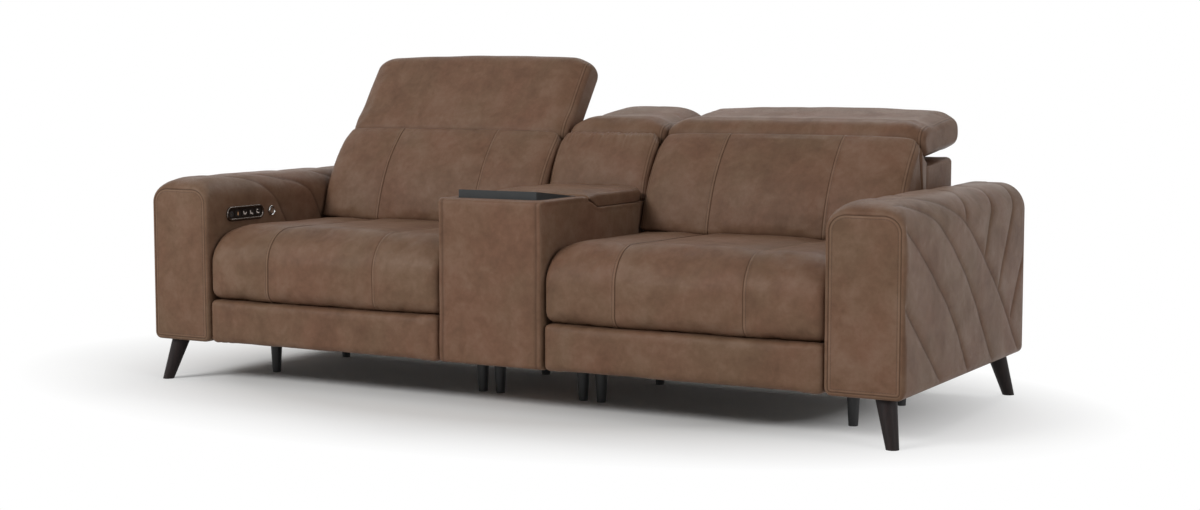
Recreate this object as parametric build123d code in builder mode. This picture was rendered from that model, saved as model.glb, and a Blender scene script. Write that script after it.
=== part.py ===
from build123d import *
import os
from math import cos, hypot, radians, sin, sqrt

# Power reclining sofa with two seats and a console between them, in millimetres.
# +X runs to the right as seen from the front, the front faces -Y and the floor is Z = 0.
# The origin is on the floor under the middle of the whole sofa.
# Places in a side view are a depth behind the sofa's front and a height above its underside.

# Upholstered body
ARM_WIDTH = 214.0
ARM_DEPTH = 995.0
ARM_HEIGHT = 495.0
LEG_HEIGHT = 125.0  # floor to the underside of the body
SEAT_BAY = 828.0  # clear width between an arm and the console
CONSOLE_WIDTH = 340.0
SIDE_GAP = 4.0  # running gap on both sides of a seat
REST_GAP = 0.3  # clearance where one moving piece rests on another
PIN_CLEARANCE = 0.08  # radial clearance of a pin in its hole
SEATED_GAP = 0.02  # radial gap of a shaft that doesn't turn in its hole
WELD_GAP = 0.2  # seam between members of one frame

# Arms and their quilting
ARM_TOP_ROUND = 58.0
ARM_FOOT_ROUND = 20.0
ARM_END_ROUND = 16.0
ARM_WALL = 30.0  # padding around the timber box
ARM_CAP = 46.0  # padding above it
ARM_BOARD = 22.0
ARM_HATCH_HALF = 45.0  # opening in the bottom board, between the legs
ARM_HATCH_INSET = 160.0
QUILT_DEPTH = 4.0
QUILT_WIDTH = 7.0
QUILT_MARGIN = 18.0  # plain border at both ends of an arm
QUILT_FOOT = 24.0  # plain border along its lower edge
SPINE_DEPTH = 780.0
SPINE_HEIGHT = 175.0
SPINE_ANGLE = -42.5
LANE_PITCH = 218.0  # along the depth, between lines parallel with the spine
LANE_COUNT = 4
RIB_ANGLE = 60.5
RIB_PITCH = 158.0  # along the spine
RIB_COUNT = 4
RIB_LAST = 126.0  # lowest rib along the spine from its point

# Timber legs of the arms
LEG_TOP_RADIUS = 28.0
LEG_FOOT_RADIUS = 17.0
LEG_SPLAY = 30.0
LEG_INSET_X = 64.0
LEG_INSET_Y = 50.0

# Steel base under each seat
RAIL = 30.0
RAIL_LIFT = 5.0
RAIL_FRONT = 110.0
RAIL_OVERRUN = 138.0  # rails behind the seat cushion
JOIN_GAP = 15.0  # rail to the side of its bay
JOIN_LENGTH = 65.0
JOIN_PLACES = (345.0, 500.0)
CROSS_PLACES = (400.0, 560.0)
FOOT_FRONT = 285.0
FOOT_SETBACK = 78.0  # rear feet behind the seat cushion
FOOT_TOP_RADIUS = 28.0
FOOT_NECK_RADIUS = 20.0
FOOT_BASE_RADIUS = 13.0
FOOT_FLANGE = 9.0
CONSOLE_FOOT_INSET = 30.0
CONSOLE_FOOT_PLACES = (285.0, 890.0)
REAR_PANEL_BOARD = 14.0
REAR_PANEL_HEIGHT = 130.0
REAR_PANEL_INSET = 19.0

# Seat carriage and timber seat frame
PLATE = 6.0
PLATE_INSET = 12.0  # plate to the outer face of the rail
LAYER_GAP = 2.0
CARRIAGE_FRONT = 105.0
SEAT_FRAME_LEVEL = 125.0
SEAT_FRAME_HEIGHT = 50.0
SEAT_FRAME_FRONT = 76.0
TIMBER = 30.0
STRAP_WIDTH = 52.0
STRAP_COUNT = 6
STRAP_THICK = 3.0

# Seat cushion
SEAT_SETBACK = 6.0
SEAT_HEIGHT = 349.0
SEAT_DEPTH = 572.0
SEAT_NOSE_LEVEL = 205.0
SEAT_NOSE_RUN = 148.0
SEAT_CROWN = 6.0
SEAT_REAR_DROP = 6.0
SEAT_REAR_ROUND = 26.0
SEAT_TUCK = 18.0
SEAT_SEAM = 188.0  # channels either side of the middle of the seat
CHANNEL_DEPTH = 8.0
CHANNEL_HALF = 12.0
PUFF = 5.0  # swell of a cushion's middle panel
END_DRAW = 24.0  # how far a cushion's end face is drawn in
END_RUN = 44.0  # length over which it is drawn in

# Footrest and its links
FOOTREST_HEIGHT = 129.0
FOOTREST_THICK = 56.0
FOOTREST_SETBACK = 4.0
FOOTREST_ROUND = 14.0
FOOTREST_BULGE = 4.0
FOOTREST_DRAW = 6.0
CREASE_GAP = 4.0
FOOTREST_PIVOT_SETBACK = 26.0  # behind the panel
FOOTREST_PIVOT_HEIGHT = 63.0
LINK_PIVOT_DEPTH = 140.0
LINK_PIVOT_HEIGHT = 100.0
REAR_LINK = 170.0
FRONT_LINK = 220.0
LINK_HALF = 13.0
LINK_INSET = 23.0  # outer face of the rear links to the rail
LINK_PIN = 6.0
TORQUE_TUBE = 11.0
JOURNAL = 8.0
HANGER_HEIGHT = 70.0
HANGER_FLANGE = 30.0

# Drive
CHANNEL_WIDTH = 44.0
CHANNEL_HEIGHT = 24.0
CHANNEL_WALL = 3.0
CHANNEL_FRONT = 255.0
MOTOR_FRONT = 505.0
MOTOR_LENGTH = 85.0
MOTOR_WIDTH = 78.0
MOTOR_HEIGHT = 66.0
MOTOR_ROUND = 10.0
NUT_LENGTH = 46.0
NUT_HEIGHT = 34.0
NUT_PLACE = 440.0
SUPPLY_LENGTH = 130.0
SUPPLY_WIDTH = 62.0
SUPPLY_HEIGHT = 36.0
SUPPLY_ROUND = 6.0
SUPPLY_OFFSET = 190.0

# Reclining back, set back from the seat cushion's rear
RECLINE_SETBACK = 43.0
RECLINE_HEIGHT = 275.0
RECLINE_PIN = 8.0
PIVOT_BOSS = 24.0
BACK_FOOT_OVERLAP = 16.0  # foot of the back ahead of the seat's rear
BACK_FOOT_HEIGHT = 371.0
BACK_WAIST_SETBACK = 29.0
BACK_WAIST_HEIGHT = 495.0
BACK_REAR_SETBACK = 185.0
BACK_UNDERSIDE = 315.0
BACK_TUCK = 34.0
BACK_FOOT_BULGE = 6.0
BACK_WAIST_BULGE = 10.0
BACK_SEAM = 178.0
BACK_PUFF = 9.0
BLOCK_INSET = 10.0  # rear of the block ahead of the arm's rear
BLOCK_BOTTOM = 175.0
BLOCK_TOP = 553.0
BLOCK_LID_SETBACK = 240.0  # where the block's top wall starts
BLOCK_WALL = 14.0
BLOCK_ROUND = 12.0
FRAME_THICK = 40.0
FRAME_RAIL = 50.0
BRACKET_HEIGHT = 64.0
BRACKET_FLANGE = 38.0
EAR_THICK = 12.0
EAR_HALF = 12.0
EAR_PLACE = 190.0

# Headrests
HEAD_AXIS_SETBACK = 203.0
HEAD_AXIS_HEIGHT = 615.0
HEAD_RADIUS = 56.0
HEAD_LENGTH = 230.0
HEAD_FOLD = 6.0  # above the horizontal when laid back
HEAD_LIFT = 48.0  # how far the left one is raised in this pose
HEAD_CROWN = 3.0
HEAD_TURNS = (-90.0, -45.0, 0.0, 45.0, 90.0)  # points around either roll
HEAD_DRAW = 14.0
HEAD_RECESS_GAP = 2.5
HEAD_SEAM_ANGLE = 163.0  # top edge of a back cushion, around the headrest's axis
HEAD_CHEEK_ANGLE = 212.0
HEAD_HEEL_ANGLE = 268.0
HEAD_SHAFT = 9.0
HEAD_SHAFT_OVERHANG = 30.0
HEAD_SLOT_GAP = 5.0
HEAD_SLOT_RADIUS = 30.0
HEAD_SLOT_ANGLES = (-62.0, -120.0, -178.0)

# Console
CONSOLE_TOP = 465.0
CONSOLE_LEDGE = 432.0
CONSOLE_STEP_START = 235.0
CONSOLE_STEP_END = 290.0
CONSOLE_ROUND = 14.0
CONSOLE_BACK_SETBACK = 34.0
CONSOLE_BACK_HEIGHT = 442.0
CONSOLE_BACK_BULGE = 18.0
CONSOLE_DRAW = 8.0
CONSOLE_RUN = 20.0
BIN_WALL = 4.0
BIN_FRONT = 306.0
BIN_REAR_INSET = 32.0
BIN_HALF = 132.0
BIN_FLOOR = 45.0
LID_OVERHANG = 11.0  # lid behind its hinge
LID_TOP = 479.0
LID_CROWN = 4.0
LID_NOSE_GAP = 3.0
LID_NOSE_RUN = 20.0
LID_HEEL = 20.0  # length over which the rear lower edge is cut away
LID_HINGE_HEIGHT = 464.0
LID_PIN = 4.0
LID_PIN_HALF = 126.0
LID_EAR_PLACE = 96.0
LID_EAR_WIDTH = 26.0
LID_EAR_HALF = 8.0
LID_NOTCH_GAP = 3.0

# Cup tray and its flap
TRAY_HALF = 131.0
TRAY_FRONT = 44.0
TRAY_REAR = 256.0
TRAY_DEPTH = 92.0
TRAY_RIM = 3.5
TRAY_SINK = 15.0  # rim down to the floor that carries the flap
CUP_RADIUS = 42.0
CUP_DEPTH = 70.0
CUP_OFFSET = 56.0
CUP_PLACE = 140.0
FLAP_GAP = 0.5
FLAP_HINGE_RADIUS = 7.5
FLAP_RISE = 22.0  # front edge above the console top
FLAP_PIN = 3.0

# Arm controls
PANEL_LENGTH = 177.0
PANEL_HEIGHT = 44.0
PANEL_DEPTH = 178.5
PANEL_LEVEL = 382.0
PANEL_PROUD = 3.0
PANEL_SUNK = 19.0
BUTTON_PITCH = 32.0
BUTTON_FIRST = -37.5  # from the middle of the panel
BUTTON_COUNT = 4
BUTTON_LENGTH = 26.0
BUTTON_HEIGHT = 20.0
BUTTON_ROUND = 5.0
BUTTON_GAP = 0.4
BUTTON_PROUD = 1.0
BUTTON_DEPTH = 8.0
BUTTON_TRAVEL = 1.5
PORT_PLACE = -66.5
PORT_RADIUS = 9.0
PORT_DEPTH = 12.0
PORT_SLOT_LENGTH = 9.0
PORT_SLOT_HEIGHT = 3.2
PORT_SLOT_DEPTH = 8.0
HOME_DEPTH = 306.0
HOME_RING = 15.0
HOME_BUTTON = 11.0

# Places worked out from the sizes above
HEAD_AXIS = (SEAT_DEPTH + HEAD_AXIS_SETBACK, HEAD_AXIS_HEIGHT)
OVERALL_DEPTH = HEAD_AXIS[0] + HEAD_LENGTH * cos(radians(HEAD_FOLD)) + HEAD_RADIUS + HEAD_CROWN
FRONT = -OVERALL_DEPTH / 2
CONSOLE_HALF = CONSOLE_WIDTH / 2
BAY_CENTRE = CONSOLE_HALF + SEAT_BAY / 2
ARM_INNER = CONSOLE_HALF + SEAT_BAY
ARM_CENTRE = ARM_INNER + ARM_WIDTH / 2
ARM_BOX_HALF = ARM_WIDTH / 2 - ARM_WALL
CUSHION_HALF = SEAT_BAY / 2 - SIDE_GAP
RAIL_OUT = SEAT_BAY / 2 - JOIN_GAP
RAIL_IN = RAIL_OUT - RAIL
RAIL_TOP = RAIL_LIFT + RAIL
PLATE_OUT = RAIL_OUT - PLATE_INSET
PLATE_IN = PLATE_OUT - PLATE
BRACKET_OUT = PLATE_IN - LAYER_GAP
BRACKET_IN = BRACKET_OUT - PLATE
LINK_OUT = RAIL_IN - LINK_INSET
LINK_IN = LINK_OUT - PLATE
FRONT_LINK_OUT = LINK_IN - LAYER_GAP
FRONT_LINK_IN = FRONT_LINK_OUT - PLATE
HANGER_OUT = FRONT_LINK_IN - LAYER_GAP
HANGER_IN = HANGER_OUT - PLATE
SEAT_BASE = SEAT_FRAME_LEVEL + SEAT_FRAME_HEIGHT
SEAT_FRAME_REAR = SEAT_DEPTH - LAYER_GAP
SEAT_RAIL_OUT = (PLATE_OUT + PLATE_IN + TIMBER) / 2
SEAT_RAIL_IN = SEAT_RAIL_OUT - TIMBER
FOOTREST_REAR = FOOTREST_SETBACK + FOOTREST_THICK
RAIL_REAR = SEAT_DEPTH + RAIL_OVERRUN
FOOT_PLACES = (FOOT_FRONT, SEAT_DEPTH + FOOT_SETBACK)
FOOTREST_PIVOT = (FOOTREST_REAR + FOOTREST_PIVOT_SETBACK, FOOTREST_PIVOT_HEIGHT)
LINK_PIVOT = (LINK_PIVOT_DEPTH, LINK_PIVOT_HEIGHT)
RECLINE_PIVOT = (SEAT_DEPTH + RECLINE_SETBACK, RECLINE_HEIGHT)
BACK_FOOT = (SEAT_DEPTH - BACK_FOOT_OVERLAP, BACK_FOOT_HEIGHT)
BACK_WAIST = (SEAT_DEPTH + BACK_WAIST_SETBACK, BACK_WAIST_HEIGHT)
BACK_REAR = SEAT_DEPTH + BACK_REAR_SETBACK
BLOCK_REAR = ARM_DEPTH - BLOCK_INSET
BLOCK_LID_FRONT = SEAT_DEPTH + BLOCK_LID_SETBACK
BLOCK_INNER = CUSHION_HALF - BLOCK_WALL
HEAD_RECESS = HEAD_RADIUS + HEAD_RECESS_GAP
SPINE_POINT = (SPINE_DEPTH, SPINE_HEIGHT)
CONSOLE_BACK_FOOT = (SEAT_DEPTH + CONSOLE_BACK_SETBACK, CONSOLE_BACK_HEIGHT)
BIN_REAR = SEAT_DEPTH - BIN_REAR_INSET
LID_HINGE = (SEAT_DEPTH, LID_HINGE_HEIGHT)
LID_REAR = SEAT_DEPTH + LID_OVERHANG
STEP_RUN = CONSOLE_STEP_END - CONSOLE_STEP_START
STEP_DROP = CONSOLE_TOP - CONSOLE_LEDGE
STEP_RADIUS = (STEP_RUN**2 + STEP_DROP**2) / (4 * STEP_DROP)
TRAY_FLOOR = CONSOLE_TOP - TRAY_SINK
FLAP_HALF = TRAY_HALF - TRAY_RIM - FLAP_GAP
FLAP_FRONT = TRAY_FRONT + TRAY_RIM + FLAP_GAP
FLAP_BOTTOM = TRAY_FLOOR + FLAP_GAP
FLAP_HINGE = (TRAY_REAR - TRAY_RIM - FLAP_GAP - FLAP_HINGE_RADIUS, FLAP_BOTTOM + FLAP_HINGE_RADIUS)
PANEL_PLACE = (PANEL_DEPTH, PANEL_LEVEL)
HOME_PLACE = (HOME_DEPTH, PANEL_LEVEL)
SIDES = (("left", -1), ("right", 1))

os.makedirs("parts", exist_ok=True)


def side(depth, height):
    """Side-view point: depth behind the sofa's front, height above its underside."""
    return (FRONT + depth, LEG_HEIGHT + height)


def save(piece, name):
    """Label a finished piece and write it under its own name."""
    piece.part.label = name
    export_step(piece.part, f"parts/{name}.step")


def polar(centre, radius, angle):
    """Side-view point at an angle above the rearward direction."""
    return (centre[0] + radius * cos(radians(angle)), centre[1] + radius * sin(radians(angle)))


def bulged(start, end, rise):
    """Middle of a chord, moved to the left of the way from start to end."""
    run = (end[0] - start[0], end[1] - start[1])
    shift = rise / hypot(*run)
    return ((start[0] + end[0]) / 2 - run[1] * shift, (start[1] + end[1]) / 2 + run[0] * shift)


def block(x_range, depth_range, height_range, mode=Mode.ADD):
    """Box between two x values, two depths and two heights."""
    low = (min(x_range), *side(depth_range[0], height_range[0]))
    high = (max(x_range), *side(depth_range[1], height_range[1]))
    with Locations(tuple((a + b) / 2 for a, b in zip(low, high))):
        Box(*[b - a for a, b in zip(low, high)], mode=mode)


def prism(x_range, points, mode=Mode.ADD):
    """Flat-sided piece with a side-view outline, between two x values."""
    with BuildSketch(Plane.YZ.offset(min(x_range))) as outline:
        with BuildLine():
            Polyline(*[side(*point) for point in points], close=True)
        make_face()
    extrude(outline.sketch, amount=max(x_range) - min(x_range), mode=mode)


def rod(x_range, centre, radius, mode=Mode.ADD):
    """Round bar or bore along X with its axis at a side-view point."""
    with BuildSketch(Plane.YZ.offset(min(x_range))) as outline:
        with Locations(side(*centre)):
            Circle(radius)
    extrude(outline.sketch, amount=max(x_range) - min(x_range), mode=mode)


def bar(x_range, start, end, half_width):
    """Flat link with round ends between two side-view points."""
    middle = ((start[0] + end[0]) / 2, (start[1] + end[1]) / 2)
    with BuildSketch(Plane.YZ.offset(min(x_range))) as outline:
        SlotCenterPoint(side(*middle), side(*end), 2 * half_width)
    extrude(outline.sketch, amount=max(x_range) - min(x_range))


def pill(x_range, centre, length, height, mode=Mode.ADD):
    """Long round-ended plate or pocket that faces along X."""
    with BuildSketch(Plane.YZ.offset(min(x_range))) as outline:
        with Locations(side(*centre)):
            SlotOverall(length, height)
    extrude(outline.sketch, amount=max(x_range) - min(x_range), mode=mode)


def key(x_range, centre, size, corner, mode=Mode.ADD):
    """Rounded rectangular button or well that faces along X."""
    with BuildSketch(Plane.YZ.offset(min(x_range))) as outline:
        with Locations(side(*centre)):
            RectangleRounded(*size, corner)
    extrude(outline.sketch, amount=max(x_range) - min(x_range), mode=mode)


def cushion_stations(half, seam, puff):
    """Pairs of x and inset along a cushion: drawn-in ends, sewn channels and a swollen middle."""
    panel = [
        (half, END_DRAW),
        (half - END_RUN / 8, END_DRAW / 2),
        (half - END_RUN / 2, END_DRAW / 8),
        ((half - END_RUN / 2 + seam + CHANNEL_HALF) / 2, -puff / 2),
        (seam + CHANNEL_HALF, 0.0),
        (seam, CHANNEL_DEPTH),
        (seam - CHANNEL_HALF, 0.0),
    ]
    return [(-x, inset) for x, inset in panel] + [(0.0, -puff)] + panel[::-1]


def plain_stations(half, draw, run, crown):
    """Pairs of x and inset along a cushion with no channels."""
    panel = [(half, draw), (half - run / 4, draw / 3), (half - run, 0.0)]
    return [(-x, inset) for x, inset in panel] + [(0.0, -crown)] + panel[::-1]


# Quilted arms: one padded cover over each timber box
def arm_outline(centre, inset, foot):
    """Front-view outline of an arm at its rear end, drawn in by an inset, down to a foot height."""
    height = ARM_HEIGHT - inset - foot
    with BuildSketch(Plane.XZ.offset(-(FRONT + ARM_DEPTH))) as outline:
        with Locations((centre, LEG_HEIGHT + foot + height / 2)):
            Rectangle(ARM_WIDTH - 2 * inset, height)
        fillet(outline.vertices().group_by(Axis.Y)[-1], ARM_TOP_ROUND - inset)
        fillet(outline.vertices().group_by(Axis.Y)[0], ARM_FOOT_ROUND)
    return outline.sketch


def quilt_lines(centre):
    """Groove tool: lanes along the spine and ribs above it, as deep as the quilting."""
    reach = ARM_DEPTH + ARM_HEIGHT
    half = ARM_WIDTH / 2 + QUILT_DEPTH
    with BuildPart() as grooves:
        with BuildSketch(Plane.YZ.offset(centre - half)) as lines:
            for lane in range(LANE_COUNT):
                with Locations(side(SPINE_POINT[0] - lane * LANE_PITCH, SPINE_POINT[1])):
                    Rectangle(2 * reach, QUILT_WIDTH, rotation=SPINE_ANGLE)
            for rib in range(RIB_COUNT):
                root = polar(SPINE_POINT, RIB_LAST - rib * RIB_PITCH, SPINE_ANGLE)
                with Locations(side(*polar(root, ARM_HEIGHT / 2, RIB_ANGLE))):
                    Rectangle(ARM_HEIGHT, QUILT_WIDTH, rotation=RIB_ANGLE)
        extrude(amount=2 * half)
        block(
            (centre - half, centre + half),
            (QUILT_MARGIN, ARM_DEPTH - QUILT_MARGIN),
            (QUILT_FOOT, ARM_HEIGHT),
            mode=Mode.INTERSECT,
        )
        extrude(arm_outline(centre, QUILT_DEPTH, -ARM_FOOT_ROUND), amount=ARM_DEPTH, mode=Mode.SUBTRACT)
    return grooves.part


for name, sx in SIDES:
    centre = sx * ARM_CENTRE
    sunk = (sx * ARM_INNER, sx * (ARM_INNER + PANEL_SUNK))
    with BuildPart() as arm_cover:
        extrude(arm_outline(centre, 0, 0), amount=ARM_DEPTH)
        fillet(arm_cover.faces().sort_by(Axis.Y)[0].edges(), ARM_END_ROUND)
        fillet(arm_cover.faces().sort_by(Axis.Y)[-1].edges(), ARM_END_ROUND)
        add(quilt_lines(centre), mode=Mode.SUBTRACT)
        block(
            (centre - ARM_BOX_HALF, centre + ARM_BOX_HALF),
            (ARM_WALL, ARM_DEPTH - ARM_WALL),
            (0, ARM_HEIGHT - ARM_CAP),
            mode=Mode.SUBTRACT,
        )
        pill(sunk, PANEL_PLACE, PANEL_LENGTH, PANEL_HEIGHT, mode=Mode.SUBTRACT)
        rod(sunk, HOME_PLACE, HOME_RING, mode=Mode.SUBTRACT)
    save(arm_cover, f"{name}_arm_cover")

with BuildPart() as arm_frames:
    for name, sx in SIDES:
        box_x = (sx * ARM_CENTRE - ARM_BOX_HALF, sx * ARM_CENTRE + ARM_BOX_HALF)
        block(box_x, (ARM_WALL, ARM_DEPTH - ARM_WALL), (0, ARM_HEIGHT - ARM_CAP))
        block(
            box_x,
            (ARM_WALL + ARM_BOARD, ARM_DEPTH - ARM_WALL - ARM_BOARD),
            (ARM_BOARD, ARM_HEIGHT - ARM_CAP - ARM_BOARD),
            mode=Mode.SUBTRACT,
        )
        block(
            (sx * ARM_CENTRE - ARM_HATCH_HALF, sx * ARM_CENTRE + ARM_HATCH_HALF),
            (ARM_HATCH_INSET, ARM_DEPTH - ARM_HATCH_INSET),
            (0, ARM_BOARD),
            mode=Mode.SUBTRACT,
        )
save(arm_frames, "arm_frames")

# Splayed legs under the four ends of the arms
with BuildPart() as arm_legs:
    for name, sx in SIDES:
        for end, depth in ((-1, LEG_INSET_Y), (1, ARM_DEPTH - LEG_INSET_Y)):
            top = (sx * (ARM_INNER + ARM_WIDTH - LEG_INSET_X), FRONT + depth)
            foot = (top[0] + sx * LEG_SPLAY, top[1] + end * LEG_SPLAY)
            with BuildSketch(Plane.XY) as leg_foot:
                with Locations(foot):
                    Circle(LEG_FOOT_RADIUS)
            with BuildSketch(Plane.XY.offset(LEG_HEIGHT)) as leg_top:
                with Locations(top):
                    Circle(LEG_TOP_RADIUS)
            loft([leg_foot.sketch, leg_top.sketch])
save(arm_legs, "arm_legs")

# Steel base of both seats, the moulded feet and what joins the bays
with BuildPart() as base_rails:
    for name, sx in SIDES:
        bay = sx * BAY_CENTRE
        for edge in (-1, 1):
            rail_x = (bay + edge * RAIL_IN, bay + edge * RAIL_OUT)
            block(rail_x, (RAIL_FRONT, RAIL_REAR), (RAIL_LIFT, RAIL_TOP))
        for place in CROSS_PLACES:
            cross_half = RAIL_IN - WELD_GAP
            block((bay - cross_half, bay + cross_half), (place, place + RAIL), (RAIL_LIFT, RAIL_TOP))
save(base_rails, "base_rails")

with BuildPart() as joining_blocks:
    for name, sx in SIDES:
        bay = sx * BAY_CENTRE
        for edge in (-1, 1):
            for place in JOIN_PLACES:
                join_x = (bay + edge * RAIL_OUT, bay + edge * SEAT_BAY / 2)
                block(join_x, (place, place + JOIN_LENGTH), (RAIL_LIFT, RAIL_TOP))
save(joining_blocks, "joining_blocks")


def moulded_foot(x, depth, top):
    """Tapered foot with a flange, from the floor up to a height above the underside."""
    neck = LEG_HEIGHT + top - FOOT_FLANGE
    with Locations((x, FRONT + depth, 0)):
        Cone(FOOT_BASE_RADIUS, FOOT_NECK_RADIUS, neck, align=(Align.CENTER, Align.CENTER, Align.MIN))
    with Locations((x, FRONT + depth, neck)):
        Cylinder(FOOT_TOP_RADIUS, FOOT_FLANGE, align=(Align.CENTER, Align.CENTER, Align.MIN))


with BuildPart() as moulded_feet:
    for name, sx in SIDES:
        for depth in FOOT_PLACES:
            for edge in (-1, 1):
                moulded_foot(sx * BAY_CENTRE + edge * (RAIL_IN + RAIL_OUT) / 2, depth, RAIL_LIFT)
        for depth in CONSOLE_FOOT_PLACES:
            moulded_foot(sx * (CONSOLE_HALF - CONSOLE_FOOT_INSET), depth, 0)
save(moulded_feet, "moulded_feet")

with BuildPart() as rear_panels:
    panel_rear = ARM_DEPTH - REAR_PANEL_INSET
    for name, sx in SIDES:
        panel_x = (sx * CONSOLE_HALF, sx * ARM_INNER)
        block(panel_x, (panel_rear - REAR_PANEL_BOARD, panel_rear), (0, REAR_PANEL_HEIGHT))
save(rear_panels, "rear_panels")

# Actuators on the cross tubes: a channel for the drive nut with a gear motor behind it
with BuildPart() as actuators:
    for name, sx in SIDES:
        bay = sx * BAY_CENTRE
        half = CHANNEL_WIDTH / 2
        block((bay - half, bay + half), (CHANNEL_FRONT, MOTOR_FRONT), (RAIL_TOP, RAIL_TOP + CHANNEL_HEIGHT))
        block(
            (bay - half + CHANNEL_WALL, bay + half - CHANNEL_WALL),
            (CHANNEL_FRONT, MOTOR_FRONT),
            (RAIL_TOP + CHANNEL_WALL, RAIL_TOP + CHANNEL_HEIGHT),
            mode=Mode.SUBTRACT,
        )
        block(
            (bay - MOTOR_WIDTH / 2, bay + MOTOR_WIDTH / 2),
            (MOTOR_FRONT, MOTOR_FRONT + MOTOR_LENGTH),
            (RAIL_TOP, RAIL_TOP + MOTOR_HEIGHT),
        )
    motor_rears = actuators.faces().filter_by(Axis.Y).group_by(Axis.Y)[-1]
    fillet(motor_rears.edges().filter_by(Axis.Z), MOTOR_ROUND)
save(actuators, "actuators")

with BuildPart() as power_supplies:
    for name, sx in SIDES:
        middle = sx * (BAY_CENTRE - SUPPLY_OFFSET)
        depth = CROSS_PLACES[1] + RAIL / 2
        block(
            (middle - SUPPLY_LENGTH / 2, middle + SUPPLY_LENGTH / 2),
            (depth - SUPPLY_WIDTH / 2, depth + SUPPLY_WIDTH / 2),
            (RAIL_TOP, RAIL_TOP + SUPPLY_HEIGHT),
        )
    fillet(power_supplies.edges().filter_by(Axis.Z), SUPPLY_ROUND)
save(power_supplies, "power_supplies")

for name, sx in SIDES:
    half = CHANNEL_WIDTH / 2 - CHANNEL_WALL - REST_GAP
    bay = sx * BAY_CENTRE
    nut_bottom = RAIL_TOP + CHANNEL_WALL + REST_GAP
    with BuildPart() as drive_nut:
        block(
            (bay - half, bay + half),
            (NUT_PLACE, NUT_PLACE + NUT_LENGTH),
            (nut_bottom, nut_bottom + NUT_HEIGHT),
        )
        fillet(drive_nut.faces().sort_by(Axis.Z)[-1].edges().filter_by(Axis.X), MOTOR_ROUND)
    save(drive_nut, f"{name}_drive_nut")

# Seat carriage: steel side plates that slide on the rails and carry the pivots
for name, sx in SIDES:
    bay = sx * BAY_CENTRE
    plate_foot = RAIL_TOP + REST_GAP
    with BuildPart() as carriage:
        for edge in (-1, 1):
            plate_x = (bay + edge * PLATE_IN, bay + edge * PLATE_OUT)
            prism(
                plate_x,
                [
                    (CARRIAGE_FRONT, plate_foot),
                    (CARRIAGE_FRONT, SEAT_FRAME_LEVEL),
                    (SEAT_FRAME_REAR, SEAT_FRAME_LEVEL),
                    (RECLINE_PIVOT[0] - PIVOT_BOSS, RECLINE_PIVOT[1]),
                    (RECLINE_PIVOT[0] + PIVOT_BOSS, RECLINE_PIVOT[1]),
                    (RECLINE_PIVOT[0] + PIVOT_BOSS, plate_foot),
                ],
            )
            rod(plate_x, RECLINE_PIVOT, PIVOT_BOSS)
            rod(plate_x, RECLINE_PIVOT, RECLINE_PIN + PIN_CLEARANCE, mode=Mode.SUBTRACT)
            rod(plate_x, LINK_PIVOT, JOURNAL + PIN_CLEARANCE, mode=Mode.SUBTRACT)
    save(carriage, f"{name}_carriage")

# Timber seat frame on the carriage, with flat straps under the cushion
for name, sx in SIDES:
    bay = sx * BAY_CENTRE
    level = (SEAT_FRAME_LEVEL, SEAT_BASE)
    front_rail = (SEAT_FRAME_FRONT, SEAT_FRAME_FRONT + TIMBER)
    rear_rail = (SEAT_FRAME_REAR - TIMBER, SEAT_FRAME_REAR)
    with BuildPart() as seat_frame:
        for cross_rail in (front_rail, rear_rail):
            block((bay - SEAT_RAIL_OUT, bay + SEAT_RAIL_OUT), cross_rail, level)
        for edge in (-1, 1):
            rail_x = (bay + edge * SEAT_RAIL_IN, bay + edge * SEAT_RAIL_OUT)
            block(rail_x, (front_rail[1] + WELD_GAP, rear_rail[0] - WELD_GAP), level)
    save(seat_frame, f"{name}_seat_frame")

    pitch = (rear_rail[0] - front_rail[1]) / STRAP_COUNT
    with BuildPart() as seat_straps:
        for strap in range(STRAP_COUNT):
            middle = front_rail[1] + pitch * (strap + 0.5)
            block(
                (bay - SEAT_RAIL_IN, bay + SEAT_RAIL_IN),
                (middle - STRAP_WIDTH / 2, middle + STRAP_WIDTH / 2),
                (SEAT_BASE - STRAP_THICK, SEAT_BASE),
            )
    save(seat_straps, f"{name}_seat_straps")


# Seat cushions: a rolled front lip, a crown and two sewn channels
def seat_outline(x, inset):
    """Side view of a seat cushion, drawn in at the front and top by an inset."""
    front = SEAT_SETBACK + inset
    top = SEAT_HEIGHT - inset
    lip = FOOTREST_HEIGHT + CREASE_GAP
    crest = side(SEAT_SETBACK + SEAT_NOSE_RUN, top)
    shoulder = side(SEAT_DEPTH - SEAT_REAR_ROUND, top - SEAT_REAR_DROP)
    nose = side(front, SEAT_NOSE_LEVEL)
    tuck = side(SEAT_SETBACK + SEAT_TUCK + inset / 2, lip)
    rear = side(SEAT_DEPTH, top - SEAT_REAR_DROP - SEAT_REAR_ROUND)
    with BuildSketch(Plane.YZ.offset(x)) as outline:
        with BuildLine():
            Polyline(
                rear,
                side(SEAT_DEPTH, SEAT_BASE),
                side(SEAT_FRAME_FRONT, SEAT_BASE),
                side(SEAT_FRAME_FRONT, lip),
                tuck,
            )
            TangentArc(nose, tuck, tangent=(0, -1))
            TangentArc(nose, crest, tangent=(0, 1))
            ThreePointArc(crest, bulged(shoulder, crest, -SEAT_CROWN), shoulder)
            TangentArc(rear, shoulder, tangent=(0, 1))
        make_face()
    return outline.sketch


for name, sx in SIDES:
    with BuildPart() as seat_cushion:
        stations = cushion_stations(CUSHION_HALF, SEAT_SEAM, PUFF)
        loft([seat_outline(sx * BAY_CENTRE + x, inset) for x, inset in stations], ruled=True)
    save(seat_cushion, f"{name}_seat_cushion")


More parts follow.
